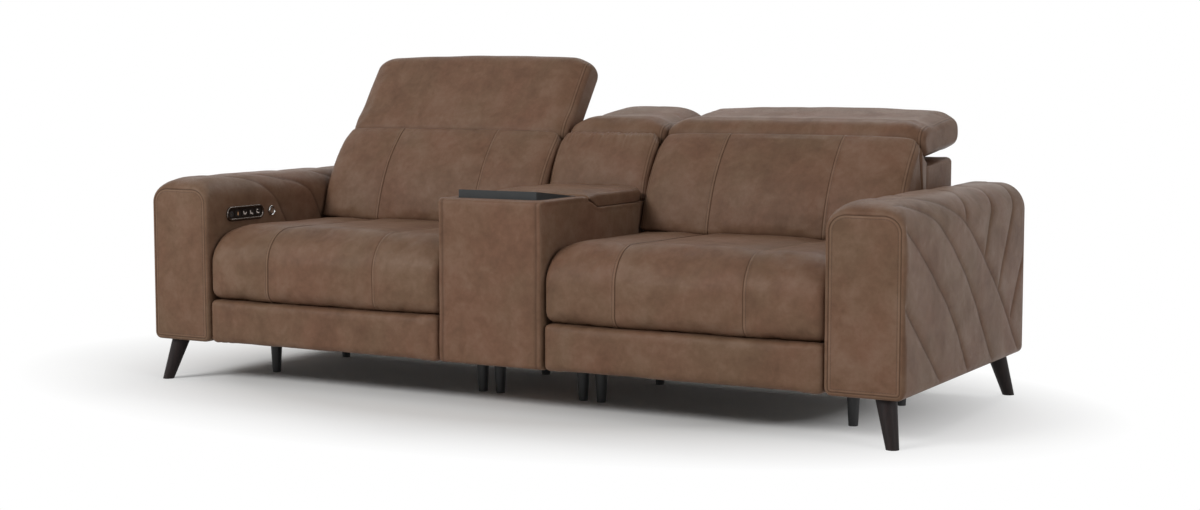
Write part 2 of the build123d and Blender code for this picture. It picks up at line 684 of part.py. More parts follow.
# Footrests: the padded panel under each seat and the links that swing it out
def footrest_outline(x, inset):
    """Side view of a footrest panel, drawn in at its face by an inset."""
    face = FOOTREST_SETBACK + FOOTREST_BULGE + inset
    upper = side(face, FOOTREST_HEIGHT - FOOTREST_ROUND)
    lower = side(face, FOOTREST_ROUND)
    top = side(face + FOOTREST_ROUND, FOOTREST_HEIGHT)
    bottom = side(face + FOOTREST_ROUND, 0)
    with BuildSketch(Plane.YZ.offset(x)) as outline:
        with BuildLine():
            Polyline(top, side(FOOTREST_REAR, FOOTREST_HEIGHT), side(FOOTREST_REAR, 0), bottom)
            TangentArc(lower, bottom, tangent=(0, -1))
            ThreePointArc(lower, bulged(lower, upper, FOOTREST_BULGE), upper)
            TangentArc(upper, top, tangent=(0, 1))
        make_face()
    return outline.sketch


def elbow():
    """Pin between the two footrest links with the footrest folded away, behind and below both ends."""
    run = (FOOTREST_PIVOT[0] - LINK_PIVOT[0], FOOTREST_PIVOT[1] - LINK_PIVOT[1])
    span = hypot(*run)
    along = (REAR_LINK**2 - FRONT_LINK**2 + span**2) / (2 * span)
    across = sqrt(REAR_LINK**2 - along**2)
    return (
        LINK_PIVOT[0] + (run[0] * along - run[1] * across) / span,
        LINK_PIVOT[1] + (run[1] * along + run[0] * across) / span,
    )


ELBOW = elbow()

for name, sx in SIDES:
    bay = sx * BAY_CENTRE
    with BuildPart() as footrest_panel:
        stations = plain_stations(CUSHION_HALF, FOOTREST_DRAW, END_RUN, 0)
        loft([footrest_outline(bay + x, inset) for x, inset in stations], ruled=True)
    save(footrest_panel, f"{name}_footrest_panel")

    with BuildPart() as footrest_hangers:
        for edge in (-1, 1):
            hanger_x = (bay + edge * HANGER_IN, bay + edge * HANGER_OUT)
            prism(
                hanger_x,
                [
                    (FOOTREST_REAR, FOOTREST_PIVOT[1] + HANGER_HEIGHT / 2),
                    (FOOTREST_PIVOT[0], FOOTREST_PIVOT[1] + LINK_HALF),
                    (FOOTREST_PIVOT[0], FOOTREST_PIVOT[1] - LINK_HALF),
                    (FOOTREST_REAR, FOOTREST_PIVOT[1] - HANGER_HEIGHT / 2),
                ],
            )
            rod(hanger_x, FOOTREST_PIVOT, LINK_HALF)
            rod((bay + edge * HANGER_IN, bay + edge * FRONT_LINK_OUT), FOOTREST_PIVOT, LINK_PIN)
            block(
                (bay + edge * (HANGER_OUT - HANGER_FLANGE), bay + edge * HANGER_OUT),
                (FOOTREST_REAR, FOOTREST_REAR + PLATE),
                (FOOTREST_PIVOT[1] - HANGER_HEIGHT / 2, FOOTREST_PIVOT[1] + HANGER_HEIGHT / 2),
            )
    save(footrest_hangers, f"{name}_footrest_hangers")

    with BuildPart() as front_links:
        for edge in (-1, 1):
            link_x = (bay + edge * FRONT_LINK_IN, bay + edge * FRONT_LINK_OUT)
            bar(link_x, ELBOW, FOOTREST_PIVOT, LINK_HALF)
            rod(link_x, FOOTREST_PIVOT, LINK_PIN + PIN_CLEARANCE, mode=Mode.SUBTRACT)
            rod((bay + edge * FRONT_LINK_IN, bay + edge * LINK_OUT), ELBOW, LINK_PIN)
    save(front_links, f"{name}_front_links")

    with BuildPart() as rear_links:
        rod((bay - LINK_IN, bay + LINK_IN), LINK_PIVOT, TORQUE_TUBE)
        rod((bay - PLATE_OUT, bay + PLATE_OUT), LINK_PIVOT, JOURNAL)
        for edge in (-1, 1):
            link_x = (bay + edge * LINK_IN, bay + edge * LINK_OUT)
            bar(link_x, LINK_PIVOT, ELBOW, LINK_HALF)
            rod(link_x, ELBOW, LINK_PIN + PIN_CLEARANCE, mode=Mode.SUBTRACT)
    save(rear_links, f"{name}_rear_links")


# Reclining backs: cushion, timber frame, rear block and the steel pivot brackets
def back_outline(x, inset):
    """Side view of a back cushion, drawn in at its face by an inset."""
    seam = polar(HEAD_AXIS, HEAD_RECESS, HEAD_SEAM_ANGLE + inset / 2)
    waist = (BACK_WAIST[0] + inset, BACK_WAIST[1])
    foot = (BACK_FOOT[0] + inset, BACK_FOOT[1])
    reach = HEAD_AXIS[0] - BACK_REAR
    rear_top = (BACK_REAR, HEAD_AXIS[1] - sqrt(HEAD_RECESS**2 - reach**2))
    heel = (BACK_FOOT[0] + BACK_TUCK, BACK_FOOT[1] - BACK_FOOT_BULGE)
    cheek = polar(HEAD_AXIS, HEAD_RECESS, HEAD_CHEEK_ANGLE)
    with BuildSketch(Plane.YZ.offset(x)) as outline:
        with BuildLine():
            ThreePointArc(side(*rear_top), side(*cheek), side(*seam))
            ThreePointArc(side(*seam), side(*bulged(seam, waist, -BACK_WAIST_BULGE)), side(*waist))
            ThreePointArc(side(*waist), side(*bulged(waist, foot, -BACK_FOOT_BULGE)), side(*foot))
            Polyline(
                side(*foot),
                side(*heel),
                side(heel[0], BACK_UNDERSIDE),
                side(BACK_REAR, BACK_UNDERSIDE),
                side(*rear_top),
            )
        make_face()
    return outline.sketch


for name, sx in SIDES:
    bay = sx * BAY_CENTRE
    frame_depth = (BACK_REAR, BACK_REAR + FRAME_THICK)
    frame_level = (BLOCK_BOTTOM + BLOCK_WALL, BLOCK_TOP - BLOCK_WALL)
    with BuildPart() as back_cushion:
        stations = cushion_stations(CUSHION_HALF, BACK_SEAM, BACK_PUFF)
        loft([back_outline(bay + x, inset) for x, inset in stations], ruled=True)
    save(back_cushion, f"{name}_back_cushion")

    with BuildPart() as back_block:
        block((bay - CUSHION_HALF, bay + CUSHION_HALF), (BACK_REAR, BLOCK_REAR), (BLOCK_BOTTOM, BLOCK_TOP))
        fillet(back_block.faces().sort_by(Axis.Y)[-1].edges(), BLOCK_ROUND)
        block(
            (bay - BLOCK_INNER, bay + BLOCK_INNER),
            (BACK_REAR, BLOCK_REAR - BLOCK_WALL),
            frame_level,
            mode=Mode.SUBTRACT,
        )
        block(
            (bay - BLOCK_INNER, bay + BLOCK_INNER),
            (BACK_REAR, BLOCK_LID_FRONT),
            (frame_level[1], BLOCK_TOP),
            mode=Mode.SUBTRACT,
        )
    save(back_block, f"{name}_back_block")

    with BuildPart() as back_frame:
        block((bay - BLOCK_INNER, bay + BLOCK_INNER), frame_depth, frame_level)
        block(
            (bay - BLOCK_INNER + FRAME_RAIL, bay + BLOCK_INNER - FRAME_RAIL),
            frame_depth,
            (frame_level[0] + FRAME_RAIL, frame_level[1] - FRAME_RAIL),
            mode=Mode.SUBTRACT,
        )
        for edge in (-1, 1):
            middle = bay + edge * EAR_PLACE
            ear_x = (middle - EAR_THICK / 2, middle + EAR_THICK / 2)
            block(ear_x, (HEAD_AXIS[0] - EAR_HALF, HEAD_AXIS[0] + EAR_HALF), (frame_level[1], HEAD_AXIS[1]))
            rod(ear_x, HEAD_AXIS, EAR_HALF)
            rod(ear_x, HEAD_AXIS, HEAD_SHAFT + PIN_CLEARANCE, mode=Mode.SUBTRACT)
    save(back_frame, f"{name}_back_frame")

    with BuildPart() as back_brackets:
        for edge in (-1, 1):
            bracket_x = (bay + edge * BRACKET_IN, bay + edge * BRACKET_OUT)
            upper = RECLINE_PIVOT[1] + BRACKET_HEIGHT / 2
            lower = RECLINE_PIVOT[1] - BRACKET_HEIGHT / 2
            prism(
                bracket_x,
                [
                    (RECLINE_PIVOT[0], RECLINE_PIVOT[1] + PIVOT_BOSS),
                    (BACK_REAR, upper),
                    (BACK_REAR, lower),
                    (RECLINE_PIVOT[0], RECLINE_PIVOT[1] - PIVOT_BOSS),
                ],
            )
            rod(bracket_x, RECLINE_PIVOT, PIVOT_BOSS)
            rod((bay + edge * BRACKET_IN, bay + edge * (PLATE_OUT + LAYER_GAP)), RECLINE_PIVOT, RECLINE_PIN)
            flange_x = (bay + edge * (BRACKET_OUT - BRACKET_FLANGE), bay + edge * BRACKET_OUT)
            block(flange_x, (BACK_REAR - PLATE, BACK_REAR), (lower, upper))
    save(back_brackets, f"{name}_back_brackets")


# Headrests: a rounded pad that turns on a shaft along its front roll
def head_outline(x, inset, angle):
    """Side view of a headrest pad at an angle, with a plain front roll and an inset rear roll."""
    tip = polar(HEAD_AXIS, HEAD_LENGTH, angle)
    roll = HEAD_RADIUS - max(inset, 0)
    nose = HEAD_RADIUS - inset
    front = [side(*polar(HEAD_AXIS, -roll, angle + turn)) for turn in HEAD_TURNS]
    rear = [side(*polar(tip, nose, angle + turn)) for turn in HEAD_TURNS]
    with BuildSketch(Plane.YZ.offset(x)) as outline:
        with BuildLine():
            ThreePointArc(front[0], front[1], front[2])
            ThreePointArc(front[2], front[3], front[4])
            Line(front[4], rear[0])
            ThreePointArc(rear[0], rear[1], rear[2])
            ThreePointArc(rear[2], rear[3], rear[4])
            Line(rear[4], front[0])
        make_face()
    return outline.sketch


for name, sx in SIDES:
    bay = sx * BAY_CENTRE
    angle = HEAD_FOLD + (HEAD_LIFT if name == "left" else 0)
    shaft_half = EAR_PLACE + EAR_THICK / 2 + HEAD_SHAFT_OVERHANG
    slot_reach = 2 * HEAD_RADIUS
    with BuildPart() as headrest_pad:
        stations = plain_stations(CUSHION_HALF, HEAD_DRAW, END_RUN, HEAD_CROWN)
        loft([head_outline(bay + x, inset, angle) for x, inset in stations], ruled=True)
        rod((bay - shaft_half, bay + shaft_half), HEAD_AXIS, HEAD_SHAFT + SEATED_GAP, mode=Mode.SUBTRACT)
        for edge in (-1, 1):
            middle = bay + edge * EAR_PLACE
            half = EAR_THICK / 2 + HEAD_SLOT_GAP
            slot_x = (middle - half, middle + half)
            turned = angle - HEAD_FOLD
            mouth = [polar(HEAD_AXIS, slot_reach, slot_angle + turned) for slot_angle in HEAD_SLOT_ANGLES]
            prism(slot_x, [HEAD_AXIS, *mouth], mode=Mode.SUBTRACT)
            rod(slot_x, HEAD_AXIS, HEAD_SLOT_RADIUS, mode=Mode.SUBTRACT)
    save(headrest_pad, f"{name}_headrest_pad")

    with BuildPart() as headrest_shaft:
        rod((bay - shaft_half, bay + shaft_half), HEAD_AXIS, HEAD_SHAFT)
    save(headrest_shaft, f"{name}_headrest_shaft")

# Console: padded body with a step down to the storage bin, and its own fixed back
with BuildPart() as console_body:
    step_middle = side(CONSOLE_STEP_START + STEP_RUN / 2, CONSOLE_TOP - STEP_DROP / 2)
    step_top = side(CONSOLE_STEP_START, CONSOLE_TOP)
    step_foot = side(CONSOLE_STEP_END, CONSOLE_LEDGE)
    with BuildSketch(Plane.YZ.offset(-CONSOLE_HALF)):
        with BuildLine():
            Polyline(
                step_top,
                side(0, CONSOLE_TOP),
                side(0, 0),
                side(ARM_DEPTH, 0),
                side(ARM_DEPTH, CONSOLE_LEDGE),
                step_foot,
            )
            TangentArc(step_top, step_middle, tangent=(1, 0))
            TangentArc(step_foot, step_middle, tangent=(-1, 0))
        make_face()
    extrude(amount=CONSOLE_WIDTH)
    fillet(console_body.faces().sort_by(Axis.Y)[0].edges(), CONSOLE_ROUND)
    block(
        (-TRAY_HALF, TRAY_HALF),
        (TRAY_FRONT, TRAY_REAR),
        (CONSOLE_TOP - TRAY_DEPTH, CONSOLE_TOP),
        mode=Mode.SUBTRACT,
    )
    block((-BIN_HALF, BIN_HALF), (BIN_FRONT, BIN_REAR), (BIN_FLOOR, CONSOLE_LEDGE), mode=Mode.SUBTRACT)
save(console_body, "console_body")

with BuildPart() as storage_bin:
    block((-BIN_HALF, BIN_HALF), (BIN_FRONT, BIN_REAR), (BIN_FLOOR, CONSOLE_LEDGE))
    block(
        (-BIN_HALF + BIN_WALL, BIN_HALF - BIN_WALL),
        (BIN_FRONT + BIN_WALL, BIN_REAR - BIN_WALL),
        (BIN_FLOOR + BIN_WALL, CONSOLE_LEDGE),
        mode=Mode.SUBTRACT,
    )
save(storage_bin, "storage_bin")


def console_back_outline(x, inset):
    """Side view of the console's back cushion, which carries a fixed head roll."""
    seat_radius = HEAD_RADIUS + REST_GAP / 2
    seam = polar(HEAD_AXIS, seat_radius, HEAD_SEAM_ANGLE + inset / 2)
    foot = (CONSOLE_BACK_FOOT[0] + inset, CONSOLE_BACK_FOOT[1])
    cheek = polar(HEAD_AXIS, seat_radius, HEAD_CHEEK_ANGLE)
    heel = polar(HEAD_AXIS, seat_radius, HEAD_HEEL_ANGLE)
    with BuildSketch(Plane.YZ.offset(x)) as outline:
        with BuildLine():
            ThreePointArc(side(*heel), side(*cheek), side(*seam))
            ThreePointArc(side(*seam), side(*bulged(seam, foot, -CONSOLE_BACK_BULGE)), side(*foot))
            Polyline(
                side(*foot),
                side(CONSOLE_BACK_FOOT[0] + CONSOLE_DRAW, CONSOLE_LEDGE),
                side(BLOCK_REAR, CONSOLE_LEDGE),
                side(BLOCK_REAR, BLOCK_TOP),
                side(BLOCK_LID_FRONT, BLOCK_TOP),
                side(*heel),
            )
        make_face()
    return outline.sketch


with BuildPart() as console_back:
    stations = plain_stations(CONSOLE_HALF, CONSOLE_DRAW, CONSOLE_RUN, 0)
    loft([console_back_outline(x, inset) for x, inset in stations], ruled=True)
save(console_back, "console_back_cushion")

with BuildPart() as console_head_roll:
    stations = plain_stations(CONSOLE_HALF, HEAD_DRAW, END_RUN, HEAD_CROWN)
    loft([head_outline(x, inset, HEAD_FOLD) for x, inset in stations], ruled=True)
save(console_head_roll, "console_head_roll")


# Padded lid over the bin, turning on a pin in two ears
def lid_outline(x, inset):
    """Side view of the lid: its nose follows the step of the console."""
    curl = (CONSOLE_STEP_END, CONSOLE_LEDGE + STEP_RADIUS)
    radius = STEP_RADIUS - LID_NOSE_GAP - inset / 2
    top = LID_TOP - inset
    chin = polar(curl, radius, -90)
    nose = polar(curl, radius, 180)
    brow = (nose[0] + LID_NOSE_RUN, top)
    crest = (LID_REAR - LID_HEEL, top)
    under = CONSOLE_LEDGE + REST_GAP
    with BuildSketch(Plane.YZ.offset(x)) as outline:
        with BuildLine():
            ThreePointArc(side(*chin), side(*polar(curl, radius, -135)), side(*nose))
            TangentArc(side(*nose), side(*brow), tangent=(0, 1))
            ThreePointArc(side(*brow), side(*bulged(brow, crest, LID_CROWN)), side(*crest))
            Polyline(
                side(*crest),
                side(LID_REAR, top - LID_HEEL / 2),
                side(LID_REAR, under + LID_HEEL),
                side(LID_HINGE[0] - LAYER_GAP, under),
                side(CONSOLE_STEP_END + LID_HEEL, under),
                side(*chin),
            )
        make_face()
    return outline.sketch


with BuildPart() as console_lid:
    stations = plain_stations(CONSOLE_HALF, CONSOLE_DRAW, CONSOLE_RUN, 0)
    loft([lid_outline(x, inset) for x, inset in stations], ruled=True)
    rod((-LID_PIN_HALF, LID_PIN_HALF), LID_HINGE, LID_PIN + PIN_CLEARANCE, mode=Mode.SUBTRACT)
    for edge in (-1, 1):
        half = LID_EAR_WIDTH / 2 + LID_NOTCH_GAP
        block(
            (edge * LID_EAR_PLACE - half, edge * LID_EAR_PLACE + half),
            (LID_HINGE[0] - LID_EAR_HALF - LID_NOTCH_GAP, LID_REAR + LID_NOTCH_GAP),
            (CONSOLE_LEDGE, LID_TOP + LID_CROWN),
            mode=Mode.SUBTRACT,
        )
save(console_lid, "console_lid")

with BuildPart() as lid_hinge:
    rod((-LID_PIN_HALF, LID_PIN_HALF), LID_HINGE, LID_PIN)
    for edge in (-1, 1):
        ear_x = (edge * LID_EAR_PLACE - LID_EAR_WIDTH / 2, edge * LID_EAR_PLACE + LID_EAR_WIDTH / 2)
        ear_depth = (LID_HINGE[0] - LID_EAR_HALF, LID_HINGE[0] + LID_EAR_HALF)
        block(ear_x, ear_depth, (CONSOLE_LEDGE, LID_HINGE[1]))
        rod(ear_x, LID_HINGE, LID_EAR_HALF)
save(lid_hinge, "lid_hinge")

# Cup tray with two wells, and the wedge flap that covers it
with BuildPart() as cup_tray:
    block((-TRAY_HALF, TRAY_HALF), (TRAY_FRONT, TRAY_REAR), (CONSOLE_TOP - TRAY_DEPTH, CONSOLE_TOP))
    block(
        (-TRAY_HALF + TRAY_RIM, TRAY_HALF - TRAY_RIM),
        (TRAY_FRONT + TRAY_RIM, TRAY_REAR - TRAY_RIM),
        (TRAY_FLOOR, CONSOLE_TOP),
        mode=Mode.SUBTRACT,
    )
    with BuildSketch(Plane.XY.offset(LEG_HEIGHT + TRAY_FLOOR)) as wells:
        with Locations((-CUP_OFFSET, FRONT + CUP_PLACE), (CUP_OFFSET, FRONT + CUP_PLACE)):
            Circle(CUP_RADIUS)
    extrude(wells.sketch, amount=-CUP_DEPTH, mode=Mode.SUBTRACT)
    rod((-TRAY_HALF, TRAY_HALF), FLAP_HINGE, FLAP_PIN + PIN_CLEARANCE, mode=Mode.SUBTRACT)
save(cup_tray, "cup_tray")

with BuildPart() as tray_flap:
    heel_top = side(FLAP_HINGE[0], FLAP_HINGE[1] + FLAP_HINGE_RADIUS)
    heel_foot = side(FLAP_HINGE[0], FLAP_BOTTOM)
    with BuildSketch(Plane.YZ.offset(-FLAP_HALF)):
        with BuildLine():
            Polyline(
                heel_foot,
                side(FLAP_FRONT, FLAP_BOTTOM),
                side(FLAP_FRONT, CONSOLE_TOP + FLAP_RISE),
                heel_top,
            )
            ThreePointArc(heel_top, side(FLAP_HINGE[0] + FLAP_HINGE_RADIUS, FLAP_HINGE[1]), heel_foot)
        make_face()
    extrude(amount=2 * FLAP_HALF)
    rod((-TRAY_HALF + FLAP_GAP, TRAY_HALF - FLAP_GAP), FLAP_HINGE, FLAP_PIN)
save(tray_flap, "tray_flap")

# Arm controls: a long panel with a charging port and four keys, and a round home key beside it
with BuildPart() as control_bezels:
    for name, sx in SIDES:
        face = sx * (ARM_INNER - PANEL_PROUD)
        depth = (face, sx * (ARM_INNER + PANEL_SUNK))
        well = (face, face + sx * (BUTTON_DEPTH - BUTTON_PROUD + BUTTON_TRAVEL + BUTTON_GAP))
        pill(depth, PANEL_PLACE, PANEL_LENGTH, PANEL_HEIGHT)
        rod(depth, HOME_PLACE, HOME_RING)
        rod(well, HOME_PLACE, HOME_BUTTON + BUTTON_GAP, mode=Mode.SUBTRACT)
        port = (PANEL_PLACE[0] + PORT_PLACE, PANEL_PLACE[1])
        rod((face, face + sx * PORT_DEPTH), port, PORT_RADIUS, mode=Mode.SUBTRACT)
        for number in range(BUTTON_COUNT):
            place = (PANEL_PLACE[0] + BUTTON_FIRST + number * BUTTON_PITCH, PANEL_PLACE[1])
            size = (BUTTON_LENGTH + 2 * BUTTON_GAP, BUTTON_HEIGHT + 2 * BUTTON_GAP)
            key(well, place, size, BUTTON_ROUND + BUTTON_GAP, mode=Mode.SUBTRACT)
save(control_bezels, "control_bezels")

with BuildPart() as charging_ports:
    for name, sx in SIDES:
        face = sx * (ARM_INNER - PANEL_PROUD)
        port = (PANEL_PLACE[0] + PORT_PLACE, PANEL_PLACE[1])
        rod((face, face + sx * PORT_DEPTH), port, PORT_RADIUS)
        block(
            (face, face + sx * PORT_SLOT_DEPTH),
            (port[0] - PORT_SLOT_LENGTH / 2, port[0] + PORT_SLOT_LENGTH / 2),
            (port[1] - PORT_SLOT_HEIGHT / 2, port[1] + PORT_SLOT_HEIGHT / 2),
            mode=Mode.SUBTRACT,
        )
save(charging_ports, "charging_ports")

for name, sx in SIDES:
    face = sx * (ARM_INNER - PANEL_PROUD - BUTTON_PROUD)
    key_x = (face, face + sx * BUTTON_DEPTH)
    for number in range(BUTTON_COUNT):
        place = (PANEL_PLACE[0] + BUTTON_FIRST + number * BUTTON_PITCH, PANEL_PLACE[1])
        with BuildPart() as button:
            key(key_x, place, (BUTTON_LENGTH, BUTTON_HEIGHT), BUTTON_ROUND)
        save(button, f"{name}_button_{number + 1}")
    with BuildPart() as home_button:
        rod(key_x, HOME_PLACE, HOME_BUTTON)
    save(home_button, f"{name}_home_button")
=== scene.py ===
# Power reclining sofa in mottled brown leather: two powered seats, each with its own back, headrest and
# folded footrest, and between them a console with a lid, a tray flap and a back of its own.
import contextlib
import math

import bmesh
import bpy
import numpy as np
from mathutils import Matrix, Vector


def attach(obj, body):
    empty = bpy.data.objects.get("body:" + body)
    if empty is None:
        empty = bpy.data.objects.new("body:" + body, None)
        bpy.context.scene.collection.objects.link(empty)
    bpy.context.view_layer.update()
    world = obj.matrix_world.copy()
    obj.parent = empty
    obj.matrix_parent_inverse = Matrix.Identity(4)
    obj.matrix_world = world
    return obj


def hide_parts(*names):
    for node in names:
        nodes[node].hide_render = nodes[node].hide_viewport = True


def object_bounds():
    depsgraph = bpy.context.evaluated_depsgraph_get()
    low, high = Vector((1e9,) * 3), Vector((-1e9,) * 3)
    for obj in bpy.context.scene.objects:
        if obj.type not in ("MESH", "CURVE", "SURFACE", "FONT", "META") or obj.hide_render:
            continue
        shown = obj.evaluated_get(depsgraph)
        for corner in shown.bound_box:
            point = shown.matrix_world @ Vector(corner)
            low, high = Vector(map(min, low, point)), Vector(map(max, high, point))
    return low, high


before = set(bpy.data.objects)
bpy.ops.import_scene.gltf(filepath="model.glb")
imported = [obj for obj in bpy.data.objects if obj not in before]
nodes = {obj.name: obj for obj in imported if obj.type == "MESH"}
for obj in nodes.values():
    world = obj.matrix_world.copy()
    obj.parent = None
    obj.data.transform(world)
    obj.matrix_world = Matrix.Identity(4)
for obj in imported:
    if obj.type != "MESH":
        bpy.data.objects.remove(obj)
solid_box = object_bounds()
SIDES = ("left", "right")


# Legs. Four splayed, tapered posts of solid hardwood, stained espresso and lacquered satin.
# Each is screwed up into a corner block of its arm's box, with the grain running down the post.
def srgb(red, green, blue):
    """A colour as it is read off a screen, 0 to 255, made linear for a shader."""
    parts = [c / 255 for c in (red, green, blue)]
    return tuple(c / 12.92 if c <= 0.04045 else ((c + 0.055) / 1.055) ** 2.4 for c in parts) + (1.0,)


def put(tree, kind, inputs=None, **settings):
    """A node with its settings, each input set to a value or joined to another node's output. A kind
    without Node in its name is a shader node."""
    node = tree.nodes.new(kind if "Node" in kind else "ShaderNode" + kind)
    for key, value in settings.items():
        setattr(node, key, value)
    for key, value in (inputs or {}).items():
        if isinstance(value, bpy.types.NodeSocket):
            tree.links.new(value, node.inputs[key])
        else:
            node.inputs[key].default_value = value
    return node


def calc(tree, operation, *values):
    """The output of a Math node."""
    return put(tree, "Math", dict(enumerate(values)), operation=operation).outputs[0]


def mix_colour(tree, share, first, second):
    """The output of a colour Mix node."""
    return put(tree, "Mix", {0: share, 6: first, 7: second}, data_type="RGBA").outputs[2]


def spread(tree, value, low, high, to_low, to_high):
    """A value taken from one range to another, held at the ends."""
    ranges = {0: value, 1: low, 2: high, 3: to_low, 4: to_high}
    return put(tree, "MapRange", ranges).outputs[0]


def new_finish(name, **fixed):
    """A material, its tree and its shader; fixed gives the shader's sockets that are the same all over."""
    finish = bpy.data.materials.new(name)
    finish.use_nodes = True
    shader = finish.node_tree.nodes["Principled BSDF"]
    for key, value in fixed.items():
        shader.inputs[key.replace("_", " ")].default_value = value
    return finish, finish.node_tree, shader


def new_group(name, inputs, outputs):
    """A shader group with named sockets, and its two end nodes."""
    group = bpy.data.node_groups.new(name, "ShaderNodeTree")
    for socket, kind in inputs:
        group.interface.new_socket(name=socket, in_out="INPUT", socket_type="NodeSocket" + kind)
    for socket, kind in outputs:
        group.interface.new_socket(name=socket, in_out="OUTPUT", socket_type="NodeSocket" + kind)
    return group, group.nodes.new("NodeGroupInput"), group.nodes.new("NodeGroupOutput")


def raise_surface(tree, shader, height, strength):
    """Joins a height in metres to a shader's normal."""
    bump = put(tree, "Bump", {"Strength": strength, "Distance": 1.0, "Height": height})
    tree.links.new(bump.outputs[0], shader.inputs["Normal"])


def object_place(tree):
    """Where a point lies in its object's own space."""
    return put(tree, "TexCoord").outputs["Object"]


def paint(finish, *names):
    """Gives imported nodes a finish."""
    for name in names:
        nodes[name].data.materials.clear()
        nodes[name].data.materials.append(finish)


NOISE_RANGE = (0.3, 0.7)

speckle, speckle_in, speckle_out = new_group(
    "speckle", [("Vector", "Vector"), ("Scale", "Float"), ("Depth", "Float")],
    [("Shade", "Float"), ("Height", "Float")])
fine = put(speckle, "TexNoise", {
    "Vector": speckle_in.outputs["Vector"], "Scale": speckle_in.outputs["Scale"], "Detail": 3.0}).outputs[0]
broad = put(speckle, "TexNoise", {
    "Vector": speckle_in.outputs["Vector"], "Detail": 2.0,
    "Scale": calc(speckle, "MULTIPLY", speckle_in.outputs["Scale"], 0.02)}).outputs[0]
speckle.links.new(calc(speckle, "MULTIPLY_ADD", fine, 0.5, calc(speckle, "MULTIPLY", broad, 0.5)),
                  speckle_out.inputs["Shade"])
speckle.links.new(calc(speckle, "MULTIPLY", fine, speckle_in.outputs["Depth"]), speckle_out.inputs["Height"])


def surfaced(tree, shader, skin, shade, dark, light, rough, strength):
    """Joins a speckled skin to a shader: two screen colours by shade, a range of roughness and bumps."""
    tone = spread(tree, shade, *NOISE_RANGE, 0.0, 1.0)
    tree.links.new(mix_colour(tree, tone, srgb(*dark), srgb(*light)), shader.inputs["Base Color"])
    tree.links.new(spread(tree, skin.outputs["Shade"], *NOISE_RANGE, *rough), shader.inputs["Roughness"])
    raise_surface(tree, shader, skin.outputs["Height"], strength)


def timber(name, dark, light, rough, run):
    """Planed wood whose grain is drawn out by run, the scale on each axis."""
    finish, tree, shader = new_finish(name, Specular_IOR_Level=0.2)
    drawn = put(tree, "Mapping", {"Vector": object_place(tree), "Scale": run}).outputs[0]
    rings = put(tree, "TexNoise", {"Vector": drawn, "Scale": 1.0, "Detail": 4.0, "Distortion": 0.6})
    pores = put(tree, "Group", {"Vector": drawn, "Scale": 6.0, "Depth": 0.0003}, node_tree=speckle)
    surfaced(tree, shader, pores, rings.outputs[0], dark, light, (rough - 0.06, rough + 0.08), 0.6)
    return finish


paint(timber("espresso_stain", (15, 9, 9), (33, 22, 21), 0.52, (120.0, 120.0, 9.0)), "arm_legs")


# Timber inside: the arm boxes, joining blocks, seat frames and back frames. Sawn softwood and board,
# glued and stapled, and covered by the padding on all the faces that show.
sawn_pine = timber("sawn_pine", (168, 128, 84), (214, 178, 130), 0.7, (8.0, 70.0, 70.0))
paint(sawn_pine, "arm_frames", "joining_blocks")
for side in SIDES:
    paint(sawn_pine, side + "_seat_frame", side + "_back_frame")


# Steel works under the seats: base rails, carriages, brackets, links, hangers and hinge pin. Pressed and
# folded steel in black powder coat, riveted at the pivots; the motors are grey with nylon drive nuts.
def coated(name, dark, light, scale, depth, rough, metal=0.0, **fixed):
    """A paint, moulding or plating with a fine speckled surface."""
    finish, tree, shader = new_finish(name, Metallic=metal, **fixed)
    skin = put(tree, "Group", {
        "Vector": object_place(tree), "Scale": scale, "Depth": depth}, node_tree=speckle)
    surfaced(tree, shader, skin, skin.outputs["Shade"], dark, light, (rough - 0.05, rough + 0.05), 0.5)
    return finish


powder_coat = coated("powder_coat", (38, 38, 40), (52, 52, 54), 1400.0, 0.0002, 0.5)
black_moulding = coated("black_moulding", (30, 30, 31), (44, 44, 45), 1800.0, 0.00015, 0.5)
natural_nylon = coated("natural_nylon", (205, 200, 188), (224, 220, 208), 1500.0, 0.0001, 0.45)
motor_paint = coated("motor_paint", (118, 120, 122), (134, 136, 138), 1600.0, 0.0001, 0.4)
paint(powder_coat, "base_rails", "lid_hinge")
paint(motor_paint, "actuators")
paint(black_moulding, "power_supplies", "moulded_feet")
for side in SIDES:
    paint(natural_nylon, side + "_drive_nut")
    for name in ("carriage", "back_brackets", "headrest_shaft", "rear_links", "front_links",
                 "footrest_hangers"):
        paint(powder_coat, side + "_" + name)


# Seat straps: flat woven elastic, stretched over the seat frame and stapled at its rails. They lie under
# the seat's foam and show only from below.
strap_weave, tree, shader = new_finish("strap_weave", Roughness=0.85)
place = object_place(tree)
ribs = put(tree, "TexWave", {"Vector": place, "Scale": 90.0}, bands_direction="X").outputs["Fac"]
picks = put(tree, "TexWave", {"Vector": place, "Scale": 130.0}, bands_direction="Y").outputs["Fac"]
woven = calc(tree, "MULTIPLY", ribs, picks)
tree.links.new(mix_colour(tree, woven, srgb(40, 38, 36), srgb(92, 88, 82)), shader.inputs["Base Color"])
raise_surface(tree, shader, calc(tree, "MULTIPLY", woven, 0.0006), 0.8)
for side in SIDES:
    paint(strap_weave, side + "_seat_straps")


# Arms. A timber box padded and covered in leather, quilted in chevrons over both faces and the top, with
# a plain front panel sewn in behind a rolled edge. The leather is drawn under the box and stapled.
MOTTLE_SIZES = (5.0, 17.0, 60.0)
MOTTLE_WEIGHTS = (0.4, 0.42, 0.18)
HIDE_DARK = srgb(81, 58, 45)
HIDE_MIDDLE = srgb(108, 82, 66)
HIDE_LIGHT = srgb(131, 107, 91)
HIDE_OLIVE = srgb(103, 84, 65)
HIDE_RED = srgb(113, 81, 64)
# Painted highlight for the raised ridge of each lapped seam, where it catches the light.
HIDE_RIDGE_HIGHLIGHT = srgb(146, 119, 98)
# Painted shade for the quilting creases and the folds of the console's front seams.
HIDE_CREASE_SHADE = srgb(62, 44, 33)
HIDE_SEAM = srgb(54, 38, 28)
LAP = 8.0

